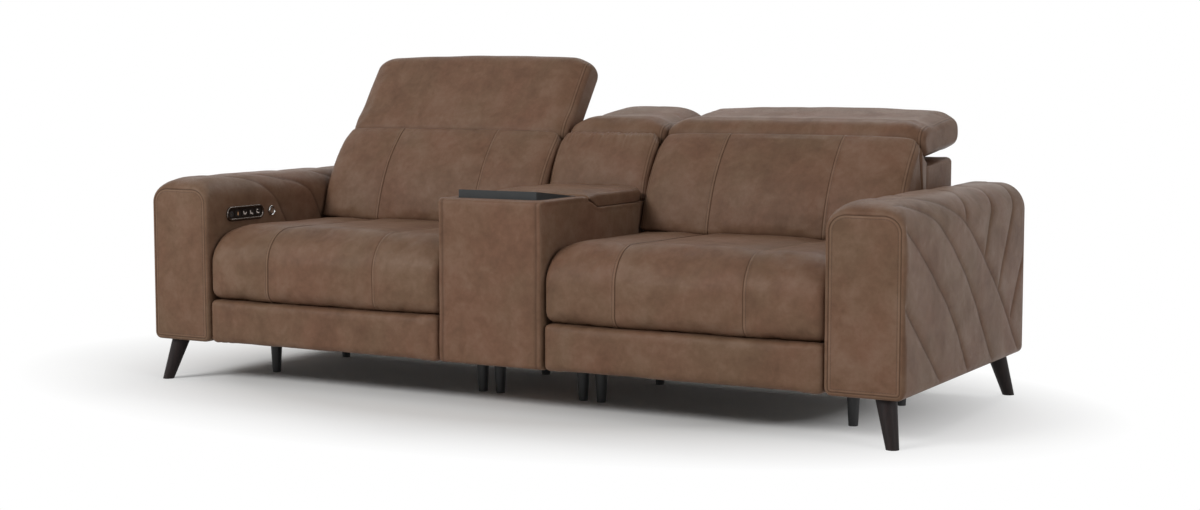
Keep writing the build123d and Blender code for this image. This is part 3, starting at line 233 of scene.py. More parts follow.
mottle, mottle_in, mottle_out = new_group(
    "hide_mottle", [("Vector", "Vector"), ("Cut", "Float")], [("Colour", "Color"), ("Patch", "Float")])
patches = [put(mottle, "TexNoise", {
    "Vector": mottle_in.outputs["Vector"], "W": mottle_in.outputs["Cut"], "Scale": size, "Detail": 4.0,
    "Roughness": 0.6, "Distortion": 0.4}, noise_dimensions="4D") for size in MOTTLE_SIZES]
warm = spread(mottle, put(mottle, "SeparateColor", {0: patches[0].outputs[1]}).outputs[1],
              0.35, 0.65, 0.0, 1.0)
tint = mix_colour(mottle, warm, HIDE_OLIVE, HIDE_RED)
base = mix_colour(mottle, 0.55, tint, HIDE_MIDDLE)
shade = 0.0
for patch, weight in zip(patches, MOTTLE_WEIGHTS):
    shade = calc(mottle, "MULTIPLY_ADD", patch.outputs[0], weight, shade)
darker = spread(mottle, shade, 0.5, 0.34, 0.0, 0.65)
lighter = spread(mottle, shade, 0.5, 0.68, 0.0, 0.6)
stained = mix_colour(mottle, lighter, mix_colour(mottle, darker, base, HIDE_DARK), HIDE_LIGHT)
mottle.links.new(stained, mottle_out.inputs["Colour"])
mottle.links.new(shade, mottle_out.inputs["Patch"])

grain, grain_in, grain_out = new_group("hide_grain", [("Vector", "Vector")], [("Height", "Float")])
wander = put(grain, "TexNoise", {"Vector": grain_in.outputs[0], "Scale": 220.0, "Detail": 2.0})
moved = put(grain, "VectorMath", {0: wander.outputs[1], 1: (0.0022, 0.0022, 0.0022)},
            operation="MULTIPLY").outputs[0]
moved = put(grain, "VectorMath", {0: moved, 1: grain_in.outputs[0]}, operation="ADD").outputs[0]
pebbles = put(grain, "TexVoronoi", {"Vector": moved, "Scale": 420.0}, feature="DISTANCE_TO_EDGE")
folds = put(grain, "TexNoise", {"Vector": moved, "Scale": 28.0, "Detail": 3.0, "Distortion": 1.2})
pebble_height = spread(grain, pebbles.outputs[0], 0.0, 0.3, 0.0, 0.00022)
fold_height = calc(grain, "MULTIPLY", folds.outputs[0], 0.0005)
grain.links.new(calc(grain, "ADD", pebble_height, fold_height), grain_out.inputs[0])

sewn, sewn_in, sewn_out = new_group("sewn_line", [("Distance", "Float")],
                                    [("Mask", "Float"), ("Ridge", "Float"), ("Height", "Float")])


def notch(distance, at, width):
    """A bell-shaped dip at a distance from the seam, in metres."""
    off = calc(sewn, "DIVIDE", calc(sewn, "SUBTRACT", distance, at), width)
    return calc(sewn, "EXPONENT", calc(sewn, "MULTIPLY", calc(sewn, "MULTIPLY", off, off), -1.0))


fold = notch(sewn_in.outputs[0], 0.0, 0.0015)
needle_row = notch(sewn_in.outputs[0], LAP / 1000, 0.0012)
dip = calc(sewn, "MULTIPLY_ADD", needle_row, 0.5, fold)
sewn.links.new(calc(sewn, "MINIMUM", dip, 1.0), sewn_out.inputs["Mask"])
# Ridge marks the lap's raised edge, which gets a painted highlight in the leather's colour.
sewn.links.new(notch(sewn_in.outputs[0], LAP / 2000, 0.0026), sewn_out.inputs["Ridge"])
sewn.links.new(calc(sewn, "MULTIPLY", dip, -0.0008), sewn_out.inputs["Height"])

mottled_leather, tree, shader = new_finish("mottled_leather", Specular_IOR_Level=0.08)
place = object_place(tree)
cut = put(tree, "Attribute", attribute_name="cut").outputs["Fac"]
crease = put(tree, "Attribute", attribute_name="crease").outputs["Fac"]
line = put(tree, "Group", {
    "Distance": put(tree, "Attribute", attribute_name="seam").outputs["Fac"]}, node_tree=sewn)
hide = put(tree, "Group", {"Vector": place, "Cut": cut}, node_tree=mottle)
pores = put(tree, "Group", {"Vector": place}, node_tree=grain)
# The mottled hide takes painted shade along the creases, a painted highlight on each lap's ridge, and its
# dark seam lines.
hide_with_painted_light = hide.outputs["Colour"]
for mask, most, colour in ((crease, 0.5, HIDE_CREASE_SHADE), (line.outputs["Ridge"], 0.2, HIDE_RIDGE_HIGHLIGHT),
                           (line.outputs["Mask"], 0.62, HIDE_SEAM)):
    hide_with_painted_light = mix_colour(tree, calc(tree, "MULTIPLY", mask, most), hide_with_painted_light, colour)
tree.links.new(hide_with_painted_light, shader.inputs["Base Color"])
gloss = spread(tree, hide.outputs["Patch"], 0.35, 0.65, 0.46, 0.36)
tree.links.new(gloss, shader.inputs["Roughness"])
raise_surface(tree, shader, calc(tree, "ADD", pores.outputs[0], line.outputs["Height"]), 0.8)

FRONT = solid_box[0][1]
UNDERSIDE = 0.125
ARM_MIDDLE = 1105.0
ARM_HALF = 107.0
ARM_DEPTH = 995.0
ARM_TALL = 495.0
ARM_TOP_ROUND = 76.0
ARM_FOOT_ROUND = 20.0
ARM_SIDE_EDGE = 9.0
ARM_TOP_EDGE = 33.0
ARM_TOP_RUN = 95.0
PANEL_SEAM = 2.0
CONTROLS = (207.0, 382.0, 122.0, 30.0)
QUILT_RISE = 2.0
QUILT_PULLS = ((5.0, 8.0), (2.4, 42.0))
QUILT_TOP_LESS = 0.45
ARM_UNEVEN = 0.7
CREASE_HALF = 4.0
PANEL_SPINE = (95.0, 380.0)
CHEVRONS_OUTSIDE = (
    ((-60, 413), (-9, 372), (150, 245), (291, 129), (330, 95)),
    ((-90, 612), (-43, 584), (175, 449), (370, 295), (501, 135), (530, 95)),
    ((-140, 702), (18, 642), (255, 552), (470, 403), (718, 132), (750, 95)),
    ((77, 702), (295, 612), (462, 543), (626, 435), (756, 331), (922, 169), (1000, 95)),
    ((547, 702), (490, 593), (469, 553)),
    ((754, 702), (699, 581), (633, 437)),
    ((966, 702), (895, 577), (756, 333)),
    ((1010, 448), (978, 400), (873, 244)),
)
CHEVRONS_INSIDE = (
    ((77, 702), (150, 664), (232, 624), (283, 590), (332, 544), (385, 470), (425, 390), (450, 300)),
    ((250, 702), (300, 655), (380, 617), (455, 594), (509, 563), (556, 493), (590, 410), (610, 320)),
    ((547, 702), (590, 640), (660, 595), (715, 545), (760, 470), (790, 380)),
    ((754, 702), (800, 645), (865, 590), (920, 520), (950, 430)),
)


def rounded_line(corners, step):
    """Even points, outward normals and softness round a closed line of corners (a, b, round, softness)."""
    points, softness = [], []
    for i, (a, b, radius, soft) in enumerate(corners):
        here = np.array((a, b), float)
        back = np.array(corners[i - 1][:2]) - here
        on = np.array(corners[(i + 1) % len(corners)][:2]) - here
        shorter = min(np.linalg.norm(back), np.linalg.norm(on))
        back, on = back / np.linalg.norm(back), on / np.linalg.norm(on)
        slope = math.tan(math.acos(np.clip(back @ on, -1.0, 1.0)) / 2)
        reach = min(radius / slope, 0.49 * shorter)
        if reach < 0.01:
            points.append(here)
            softness.append(soft)
            continue
        radius = reach * slope
        middle = here + (back + on) / np.linalg.norm(back + on) * math.hypot(reach, radius)
        first, last = here + back * reach - middle, here + on * reach - middle
        start = math.atan2(first[1], first[0])
        turn = math.atan2(first[0] * last[1] - first[1] * last[0], first @ last)
        count = max(2, int(abs(turn) * radius / step) + 1)
        for angle in start + turn * np.linspace(0, 1, count + 1):
            points.append(middle + radius * np.array((math.cos(angle), math.sin(angle))))
            softness.append(soft)
    points = np.array(points)
    ahead = np.roll(points, -1, axis=0)
    if np.sum(points[:, 0] * ahead[:, 1] - ahead[:, 0] * points[:, 1]) < 0:
        points, softness = points[::-1], softness[::-1]
    loop = np.vstack([points, points[:1]])
    soft_loop = np.append(softness, softness[0])
    run = np.append(0, np.cumsum(np.linalg.norm(np.diff(loop, axis=0), axis=1)))
    at = np.linspace(0, run[-1], int(run[-1] / step) + 1)[:-1]
    points = np.stack([np.interp(at, run, loop[:, 0]), np.interp(at, run, loop[:, 1])], -1)
    tangent = np.roll(points, -1, axis=0) - np.roll(points, 1, axis=0)
    tangent /= np.linalg.norm(tangent, axis=1)[:, None]
    return points, np.stack([tangent[:, 1], -tangent[:, 0]], -1), np.interp(at, run, soft_loop)


def bow(points, step):
    """Points along a smooth curve through the given ones."""
    points = np.array(points, float)
    run = np.append(0, np.cumsum(np.linalg.norm(np.diff(points, axis=0), axis=1)))
    at = np.linspace(0, run[-1], int(run[-1] / step) + 2)
    return smooth_between(run, points, at)


def smooth_between(known, values, wanted):
    """Values read between known places along the first axis, with no kinks."""
    slope = np.gradient(values, known, axis=0)
    left = np.clip(np.searchsorted(known, wanted) - 1, 0, len(known) - 2)
    width = known[left + 1] - known[left]
    t = ((wanted - known[left]) / width).reshape((-1,) + (1,) * (values.ndim - 1))
    width = width.reshape(t.shape)
    return ((2 * t**3 - 3 * t**2 + 1) * values[left] + (t**3 - 2 * t**2 + t) * width * slope[left]
            + (3 * t**2 - 2 * t**3) * values[left + 1] + (t**3 - t**2) * width * slope[left + 1])


def ease(value):
    """A smooth step from 0 to 1."""
    value = np.clip(value, 0.0, 1.0)
    return value * value * (3 - 2 * value)


def ripple(points, wave, seed):
    """Soft, seeded unevenness over points, with a wave length in their own units."""
    rng = np.random.default_rng(seed)
    total = np.zeros(points.shape[:-1])
    for _ in range(9):
        way = rng.normal(size=3)
        way *= 2 * math.pi / (np.linalg.norm(way) * wave * rng.uniform(0.7, 1.4))
        total += np.sin(points @ way + rng.uniform(0, 2 * math.pi))
    return total / 3


def in_place(x, depth, height):
    """Places in the sofa's frame, in metres, from millimetres across, back from its front and up."""
    x, depth, height = np.broadcast_arrays(x, depth, height)
    return np.stack([x / 1000, FRONT + depth / 1000, UNDERSIDE + height / 1000], -1)


def placed(name, data):
    """A new object in the scene."""
    made = bpy.data.objects.new(name, data)
    bpy.context.scene.collection.objects.link(made)
    return made


def ring_faces(rings, count):
    """The point numbers of a grid of closed rings, and the quads between them."""
    index = np.arange(rings * count).reshape(rings, count)
    on = np.roll(index, -1, axis=1)
    return index, np.stack([index[:-1], on[:-1], on[1:], index[1:]], -1).reshape(-1, 4)


def cover(name, grid, finish, **values):
    """A closed object over a grid of rings with both ends capped, and values at its points."""
    rings, count = grid.shape[:2]
    index, quads = ring_faces(rings, count)
    flat = grid.reshape(-1, 3)
    a, b, c, d = (flat[quads[:, k]] - flat.mean(0) for k in range(4))
    faces = quads.tolist() + [index[0][::-1].tolist(), index[-1].tolist()]
    if np.sum(a * np.cross(b, c)) + np.sum(a * np.cross(c, d)) < 0:
        faces = [face[::-1] for face in faces]
    mesh = bpy.data.meshes.new(name)
    mesh.from_pydata(flat.tolist(), [], faces)
    mesh.shade_smooth()
    for key, value in values.items():
        layer = mesh.attributes.new(key, "FLOAT", "POINT")
        layer.data.foreach_set("value", np.broadcast_to(value, (rings, count)).ravel().astype(np.float32))
    mesh.materials.append(finish)
    return placed(name, mesh)


def upholstered(piece, body, fill, *replaced):
    """Fixes a finished padded piece to its body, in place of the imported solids."""
    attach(piece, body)
    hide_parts(*replaced)


stitch_tree = bpy.data.node_groups.new("stitch_row", "GeometryNodeTree")
sockets = {}
for socket, kind in (("Rows", "Geometry"), ("Pitch", "Float"), ("Length", "Float"), ("Thickness", "Float"),
                     ("Thread", "Material")):
    sockets[socket] = stitch_tree.interface.new_socket(
        name=socket, in_out="INPUT", socket_type="NodeSocket" + kind).identifier
stitch_tree.interface.new_socket(name="Stitches", in_out="OUTPUT", socket_type="NodeSocketGeometry")
given = stitch_tree.nodes.new("NodeGroupInput").outputs
row = put(stitch_tree, "GeometryNodeMeshToCurve", {"Mesh": given["Rows"]}).outputs[0]
spots = put(stitch_tree, "GeometryNodeCurveToPoints", {"Curve": row, "Length": given["Pitch"]},
            mode="LENGTH")
lift = put(stitch_tree, "GeometryNodeInputNamedAttribute", {"Name": "lift"},
           data_type="FLOAT_VECTOR").outputs[0]
along = put(stitch_tree, "FunctionNodeAlignRotationToVector", {"Vector": spots.outputs["Tangent"]}, axis="X")
upright = put(stitch_tree, "FunctionNodeAlignRotationToVector",
              {"Rotation": along.outputs[0], "Vector": lift}, axis="Z", pivot_axis="X")
bead = put(stitch_tree, "GeometryNodeMeshUVSphere", {"Segments": 6, "Rings": 4, "Radius": 0.5}).outputs[0]
size = put(stitch_tree, "CombineXYZ", {
    0: given["Length"], 1: given["Thickness"], 2: given["Thickness"]}).outputs[0]
sewn_on = put(stitch_tree, "GeometryNodeInstanceOnPoints", {
    "Points": spots.outputs["Points"], "Instance": bead, "Rotation": upright.outputs[0], "Scale": size})
solid = put(stitch_tree, "GeometryNodeRealizeInstances", {"Geometry": sewn_on.outputs[0]}).outputs[0]
threaded = put(stitch_tree, "GeometryNodeSetMaterial", {"Geometry": solid, "Material": given["Thread"]})
stitch_tree.links.new(threaded.outputs[0], stitch_tree.nodes.new("NodeGroupOutput").inputs[0])
thread = coated("waxed_thread", (74, 54, 42), (104, 80, 64), 2500.0, 0.0001, 0.5)


def applied(piece, modifier):
    """Makes what a modifier shows the object's own mesh."""
    shown = piece.evaluated_get(bpy.context.evaluated_depsgraph_get())
    made = bpy.data.meshes.new_from_object(shown)
    piece.modifiers.remove(modifier)
    piece.data = made


STITCH = (("Pitch", 0.0072), ("Length", 0.0046), ("Thickness", 0.0012), ("Thread", thread))


def sew(name, body, rows):
    """A mesh of stitches along rows of (points, lifts), riding on a body."""
    points = np.vstack([p for p, _ in rows])
    lifts = np.vstack([n for _, n in rows])
    edges, at = [], 0
    for p, _ in rows:
        edges += [(at + k, at + k + 1) for k in range(len(p) - 1)]
        at += len(p)
    path = bpy.data.meshes.new(name + "_path")
    path.from_pydata(points.tolist(), edges, [])
    path.attributes.new("lift", "FLOAT_VECTOR", "POINT").data.foreach_set("vector", lifts.ravel())
    piece = placed(name, path)
    stitching = piece.modifiers.new("stitching", "NODES")
    stitching.node_group = stitch_tree
    for key, value in STITCH:
        stitching[sockets[key]] = value
    applied(piece, stitching)
    piece.data.shade_smooth()
    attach(piece, body)


arm_ring, arm_out, _ = rounded_line(
    [(-ARM_HALF, 0, ARM_FOOT_ROUND, 1), (ARM_HALF, 0, ARM_FOOT_ROUND, 1),
     (ARM_HALF, ARM_TALL, ARM_TOP_ROUND, 1), (-ARM_HALF, ARM_TALL, ARM_TOP_ROUND, 1)], 5.5)
spring = ARM_TALL - ARM_TOP_ROUND
flat_half = ARM_HALF - ARM_TOP_ROUND
over = np.arctan2(arm_ring[:, 1] - spring, np.maximum(np.abs(arm_ring[:, 0]) - flat_half, 0.0))
climb = np.where(arm_ring[:, 1] <= spring, arm_ring[:, 1],
                 spring + ARM_TOP_ROUND * over + np.maximum(flat_half - np.abs(arm_ring[:, 0]), 0.0))
upward = np.maximum(arm_out[:, 1], 0)
front_edge = ARM_SIDE_EDGE + (ARM_TOP_EDGE - ARM_SIDE_EDGE) * upward**2
front_run = ARM_SIDE_EDGE + (ARM_TOP_RUN - ARM_SIDE_EDGE) * upward**2
rear_edge = np.full(len(arm_ring), ARM_SIDE_EDGE)


def panel_rows(edge, run):
    """Rows (inset, scale, depth, seam distance) from a panel's middle out over its seam and rolled edge,
    which draws in by edge and goes back by run."""
    made = [(edge + 6, k, y + 0 * edge, 4 + (1 - k) * 90) for k, y in (
        (0.06, -0.8), (0.2, -0.8), (0.4, -0.7), (0.6, -0.5), (0.78, -0.2), (0.9, 0.1), (0.97, 0.3))]
    made += [(edge + PANEL_SEAM + off, 1, y + 0 * edge, off) for off, y in (
        (4.0, 0.5), (2.5, 0.8), (1.2, 1.1), (0.0, 1.3), (-1.2, 0.8))]
    made += [(edge * (1 - math.cos(t)), 1, run * (1 - math.sin(t)), -3 - 30 * (1.5 - t))
             for t in np.radians((84, 72, 60, 48, 36, 24, 12, 0))]
    return made


arm_rows = panel_rows(front_edge, front_run)
arm_rows += [(0 * front_edge, 1, front_run + (ARM_DEPTH - rear_edge - front_run) * v, -100.0)
             for v in np.linspace(0, 1, 195)[1:-1]]
arm_rows += [(inset, k, ARM_DEPTH - y, off) for inset, k, y, off in panel_rows(rear_edge, rear_edge)[::-1]]
arm_inset = np.array([row[0] for row in arm_rows])
arm_scale = np.array([row[1] for row in arm_rows])[:, None]
arm_back = np.array([row[2] for row in arm_rows])
arm_seam = np.array([row[3] for row in arm_rows])[:, None] / 1000


def crease_distance(chevrons):
    """How far each point of the arm lies from the nearest quilting line."""
    nearest = np.full(arm_back.shape, 1e3)
    spot = np.stack(np.broadcast_arrays(arm_back, climb + UNDERSIDE * 1000), -1)
    for chevron in chevrons:
        line_points = bow(chevron, 12.0)
        for a, b in zip(line_points[:-1], line_points[1:]):
            t = np.clip((spot - a) @ (b - a) / ((b - a) @ (b - a)), 0, 1)[..., None]
            nearest = np.minimum(nearest, np.linalg.norm(spot - a - t * (b - a), axis=-1))
    return nearest


quilt_outside = crease_distance(CHEVRONS_OUTSIDE)
quilt_inside = crease_distance(CHEVRONS_INSIDE)
quilt_fade = ease((arm_back - 0.4 * front_run) / 12) * ease((ARM_DEPTH - 10 - arm_back) / 25)
quilt_fade = quilt_fade * ease((climb - 6) / 22)
set_in = np.maximum(np.abs(arm_back - CONTROLS[0]) - CONTROLS[2],
                    np.abs(arm_ring[:, 1] - CONTROLS[1]) - CONTROLS[3])
for side, sign in zip(SIDES, (-1, 1)):
    outer = sign * arm_ring[:, 0] > 0
    quilt = np.where(outer, quilt_outside, quilt_inside)
    shell = arm_ring[None] - arm_out[None] * arm_inset[..., None]
    spine = np.stack(np.broadcast_arrays(0.0, np.clip(shell[..., 1], *PANEL_SPINE)), -1)
    shell = spine + (shell - spine) * arm_scale[..., None]
    rough_place = np.stack(np.broadcast_arrays(shell[..., 0], arm_back, shell[..., 1]), -1)
    pull = QUILT_RISE - sum(deep * np.exp(-quilt / wide) for deep, wide in QUILT_PULLS)
    relief = pull * (1 - QUILT_TOP_LESS * upward) + ARM_UNEVEN * ripple(rough_place, 130.0, 11 + sign)
    relief = relief * quilt_fade * np.where(outer, 1.0, ease(set_in / 30))
    shell = shell + arm_out[None] * relief[..., None]
    # Painted shade darkens the leather along each quilting crease.
    arm = cover(side + "_arm", in_place(sign * ARM_MIDDLE + shell[..., 0], arm_back, shell[..., 1]),
                mottled_leather, seam=arm_seam, crease=quilt_fade * np.exp(-((quilt / CREASE_HALF) ** 2)),
                cut=np.where(arm_inset > front_edge + PANEL_SEAM, 3.0, 1.0) + 5 * sign)
    upholstered(arm, "frame", 0.95, side + "_arm_cover")
    row_at = arm_ring - arm_out * (front_edge + PANEL_SEAM + LAP)[:, None]
    row_points = in_place(sign * ARM_MIDDLE + row_at[:, 0], 0.4, row_at[:, 1])
    sew(side + "_arm_panel_stitches", "frame",
        [(np.vstack([row_points, row_points[:1]]), np.tile((0.0, -1.0, 0.0), (len(row_points) + 1, 1)))])


# Seat cushions. Foam on straps, in three sewn panels with a lapped, twice-stitched seam between them,
# rolled over at the front and tucked under behind the footrest. Each rides on its sliding carriage.
BAY_MIDDLE = 584.0
CUSHION_HALF = 410.0
SEAT_SEAM = 188.0
SEAT_LINE = ((76, 133, 8, 0.3), (6, 133, 34, 1), (6, 349, 140, 1), (572, 341, 26, 1), (572, 176, 3, 0),
             (76, 176, 3, 0))
SEAT_ENDS = (24.0, 16.0)
SEAM_STEPS = (0.0, 0.7, 1.5, 2.6, 4.2, 6.0, LAP, 9.5, 11.5, 14.0)
LAP_RISE = 1.3
SEAM_VALLEYS = ((0.8, 4.0), (1.2, 30.0))
PAD_UNEVEN = 0.6
SIM_FRAMES = 18
CLOTH = {"quality": 5, "mass": 0.3, "tension_stiffness": 18, "compression_stiffness": 10,
         "shear_stiffness": 6, "bending_stiffness": 0.8, "air_damping": 4, "vertex_group_mass": "held",
         "use_pressure": True}


def across(half, seams, run, step):
    """Places across a pad, close together at its seams and where its ends turn over."""
    spots = np.linspace(run - half, half - run, int(2 * (half - run) / step) + 1)
    spots = [x for x in spots if all(abs(x - seam) > 15 for seam in seams)]
    spots += [seam + sign * off for seam in seams for sign in (-1, 1) for off in SEAM_STEPS]
    turn = np.radians(np.linspace(0, 90, 10 + int(run / 8)))
    spots += [sign * (half - run * (1 - math.sin(t))) for sign in (-1, 1) for t in turn]
    return np.unique(np.round(spots, 2))


def turned_in(xs, half, ends):
    """How far the outline draws in at each place, as the ends turn over: ends is (run, draw)."""
    run, draw = ends
    lean = 1 - np.clip(half - np.abs(xs), 0, run) / run
    return draw * (1 - np.sqrt(1 - lean**2))


def swell(middle, outline, xs, half, seams, ends, seed, pressure, growth, most):
    """How the cover moves when it is filled: a cloth held at its seams, ends and hidden faces, in metres."""
    points, normals, soft = outline
    columns = np.arange(0, len(points), 3)
    coarse = np.unique(np.round(np.append(np.linspace(-half, half, int(half / 9)), seams), 2))
    inset = turned_in(coarse, half, ends)[:, None] * soft[columns]
    shape = points[columns][None] - normals[columns][None] * inset[..., None]
    start = in_place(middle + coarse[:, None], shape[..., 0], shape[..., 1])
    start += 0.0006 * ripple(start, 0.07, seed)[..., None]
    rings, count = start.shape[:2]
    index, quads = ring_faces(rings, count)
    mesh = bpy.data.meshes.new("stuffing")
    mesh.from_pydata(start.reshape(-1, 3).tolist(), [], quads.tolist())
    dummy = placed("stuffing", mesh)
    held = dummy.vertex_groups.new(name="held")
    fixed = np.zeros((rings, count), bool)
    fixed[:, soft[columns] < 0.5] = True
    fixed[[0, -1]] = True
    for seam in seams:
        fixed[np.argmin(np.abs(coarse - seam))] = True
    held.add(index[fixed].tolist(), 1.0, "REPLACE")
    cloth = dummy.modifiers.new("cloth", "CLOTH")
    for key, value in CLOTH.items():
        setattr(cloth.settings, key, value)
    cloth.settings.shrink_min = -growth
    cloth.settings.uniform_pressure_force = pressure
    cloth.settings.effector_weights.gravity = 0
    cloth.collision_settings.use_collision = False
    cloth.point_cache.frame_end = SIM_FRAMES
    for step in range(1, SIM_FRAMES + 1):
        bpy.context.scene.frame_set(step)
    filled = dummy.evaluated_get(bpy.context.evaluated_depsgraph_get()).data
    end = np.empty(rings * count * 3, np.float32)
    filled.vertices.foreach_get("co", end)
    bpy.data.objects.remove(dummy)
    bpy.context.scene.frame_set(1)
    move = end.reshape(rings, count, 3) - start
    far = np.linalg.norm(move, axis=-1, keepdims=True) + 1e-9
    move *= most * np.tanh(far / most) / far
    move = smooth_between(coarse, move, np.clip(xs, -half, half))
    looped = np.concatenate([move[:, -2:], move, move[:, :2]], axis=1).swapaxes(0, 1)
    turn = len(points)
    known = np.concatenate([columns[-2:] - turn, columns, columns[:2] + turn]).astype(float)
    return smooth_between(known, looped, np.arange(turn, dtype=float)).swapaxes(0, 1)


def pad(name, middle, outline, half, seam, ends, seed, pressure=3.0, growth=0.006, most=0.005,
        lift=None, shift=None, end_seam=None, step=9.0, caps=()):
    """A filled pad along the sofa and its stitch rows. Its lapped seams lie at seam on both sides of the
    middle, its end panels' seam lies end_seam in, lift raises the cover and shift moves it, in millimetres;
    caps are the shares at which rings close its ends."""
    points, normals, soft = outline
    seams = (-seam, seam) if seam else ()
    xs = across(half, seams, ends[0], step)
    beyond = np.abs(xs) - seam if seam else np.full(len(xs), 1e3)
    gap = np.abs(beyond)
    place = (xs[:, None], points[None, :, 0], points[None, :, 1])
    spot = np.stack(np.broadcast_arrays(middle + place[0], *place[1:]), -1)
    lap = LAP_RISE * ease((beyond + 0.4) / 1.4) * (1 - ease((beyond - LAP - 1) / 5))
    valley = (lap - sum(deep * np.exp(-gap / wide) for deep, wide in SEAM_VALLEYS))[:, None]
    inner = ease((half - np.abs(xs)) / (0.6 * ends[0] + 10))[:, None]
    relief = soft * inner * (valley + PAD_UNEVEN * ripple(spot, 140.0, seed))
    if lift is not None:
        relief = relief + soft * lift(*place)
    drawn = turned_in(xs, half, ends)
    shape = points[None] + normals[None] * (relief - soft * drawn[:, None])[..., None]
    grid = in_place(middle + xs[:, None], shape[..., 0], shape[..., 1])
    filled = swell(middle, outline, xs, half, seams, ends, seed, pressure, growth, most)
    grid = grid + filled * ease(gap / 60)[:, None, None]
    for end in (0, -1) if caps else ():
        core, flat = grid[end].mean(0), shape[end].mean(0)
        shares = np.array(caps[::-1] if end == 0 else caps)[:, None, None]
        grid = np.concatenate([core + shares * (grid[end] - core), grid][::1 if end == 0 else -1])
        shape = np.concatenate([flat + shares * (shape[end] - flat), shape][::1 if end == 0 else -1])
    rim = len(caps)
    if shift is not None:
        wide = np.pad(xs, rim, mode="edge")[:, None]
        grid = grid + np.stack(np.broadcast_arrays(*shift(wide, shape[..., 0], shape[..., 1])), -1) / 1000
    sewn_at = beyond
    if end_seam is not None:
        run = np.append(0, np.cumsum(np.hypot(np.diff(xs), np.diff(drawn))))
        first, last = np.interp((end_seam - half, half - end_seam), xs, run)
        inside = np.minimum(run - first, last - run)
        sewn_at = np.where(np.abs(inside) < gap, inside, beyond)
    hidden = np.where(soft < 0.05, 1.0, 0.0)
    sewn_at = np.pad(sewn_at, rim, constant_values=-100.0)
    cuts = np.pad(np.digitize(xs, seams), rim, mode="edge")
    piece = cover(name, grid, mottled_leather, seam=sewn_at[:, None] / 1000 + hidden,
                  cut=cuts[:, None] * 1.7 + seed * 3.1)
    order = np.roll(np.arange(len(points)), -int(np.argmin(soft)))
    shown = [k for k in order if soft[k] > 0.6]
    lifts = np.stack([np.zeros(len(shown)), normals[shown, 0], normals[shown, 1]], -1)
    stitched = [np.argmin(np.abs(xs - sign * (seam + LAP))) for sign in (-1, 1) if seam]
    return piece, [(grid[rim + at][shown], lifts) for at in stitched]


def crowned(half, crown, run, fall, low, high, rear=(2000.0, 2100.0)):
    """A lift for a pad: crowned across its middle, and falling away near its ends above the height low, as
    far back as the depths of rear."""
    def lift(x, depth, height):
        end = ease((np.abs(x) - half + run) / run) * (1 - ease((depth - rear[0]) / (rear[1] - rear[0])))
        return crown * (1 - (x / half) ** 2) - fall * end * ease((height - low) / (high - low))
    return lift


def bay_pad(side, part, body, node, fill, outline, seam, ends, seed, **shape):
    """A pad in one bay with its stitches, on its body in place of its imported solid."""
    on_right = side == "right"
    middle = BAY_MIDDLE if on_right else -BAY_MIDDLE
    part, body = side + "_" + part, side + "_" + body
    piece, rows = pad(part, middle, outline, CUSHION_HALF, seam, ends, seed + on_right, **shape)
    upholstered(piece, body, fill, side + "_" + node)
    if rows:
        sew(part + "_stitches", body, rows)


seat_outline = rounded_line(SEAT_LINE, 6.0)
seat_crown = crowned(CUSHION_HALF, crown=5.0, run=80.0, fall=12.0, low=230.0, high=345.0,
                     rear=(330.0, 540.0))
for side in SIDES:
    bay_pad(side, "seat", "seat", "seat_cushion", 0.85, seat_outline, SEAT_SEAM, SEAT_ENDS, 21,
            lift=seat_crown)


# Footrest panels. A board padded with foam and wrapped in leather, screwed to the footrest hangers. Folded,
# it hangs under the seat's roll and closes the front.
FOOTREST_LINE = ((4, 0, 16, 1), (4, 129, 14, 1), (60, 129, 8, 0.2), (60, 0, 8, 0.2))
FOOTREST_ENDS = (20.0, 12.0)
TUCK_INSET = 46.0
TUCK_SPREAD = 26.0
TUCK_WAVE = 4.6
footrest_outline = rounded_line(FOOTREST_LINE, 4.5)


def tucks(x, depth, height):
    """Small gathers in the leather near both ends of a footrest panel."""
    near = np.exp(-(((CUSHION_HALF - TUCK_INSET - np.abs(x)) / TUCK_SPREAD) ** 2))
    return 1.0 + near * np.sin(x / TUCK_WAVE + 0.01 * height)


for side in SIDES:
    bay_pad(side, "footrest", "footrest", "footrest_panel", 0.9, footrest_outline, None, FOOTREST_ENDS, 31,
            pressure=2.0, most=0.003, lift=tucks)


# Backs. A foam front in three panels with the seat's own seams, hollowed at the top for the headrest, and
# a padded block behind it that closes the back frame. Both turn on the brackets of the carriage.
HEAD_AXIS = (775.0, 615.0)
BACK_SEAM = 178.0
BACK_FOOT = (551.0, 346.0)
BACK_BELLY = (583.0, 522.0)
BACK_TIP = (713.0, 635.0)
TIP_SPREAD = 26.0
TIP_IN, TIP_REAR, TIP_DOWN = 14.0, 2.0, 26.0


def recess(radius, first, last):
    """Corners along the hollow that the headrest turns in."""
    turns = np.radians(np.linspace(first, last, 14))
    return tuple((HEAD_AXIS[0] + radius * math.cos(t), HEAD_AXIS[1] + radius * math.sin(t), 0, 0)
                 for t in turns)


def bent(first, pull, last):
    """Corners along a smooth bend from first to last that leans towards pull, both ends left out."""
    first, pull, last = np.array((first, pull, last), float)
    between = np.linspace(0, 1, 12)[1:-1]
    curve = [(1 - t) ** 2 * first + 2 * t * (1 - t) * pull + t * t * last for t in between]
    return tuple((depth, height, 0, 1) for depth, height in curve)


BACK_LINE = ((594, 343, 6, 0.2), BACK_FOOT + (9, 1)) + bent(BACK_FOOT, BACK_BELLY, BACK_TIP) + (
    BACK_TIP + (12, 0.6),) + recess(58.5, 178, 252) + ((757, 552, 2, 0), (757, 315, 3, 0), (594, 315, 4, 0))
BACK_ENDS = (26.0, 17.0)
BACK_END_SEAM = 11.0
BLOCK_ENDS = (18.0, 14.0)
BLOCK_LINE = ((757, 176, 4, 0), (985, 176, 14, 1), (985, 568, 16, 1), (838, 554, 20, 0.4),
              (757, 548, 4, 0.2))
back_outline = rounded_line(BACK_LINE, 5.0)
block_outline = rounded_line(BLOCK_LINE, 7.0)


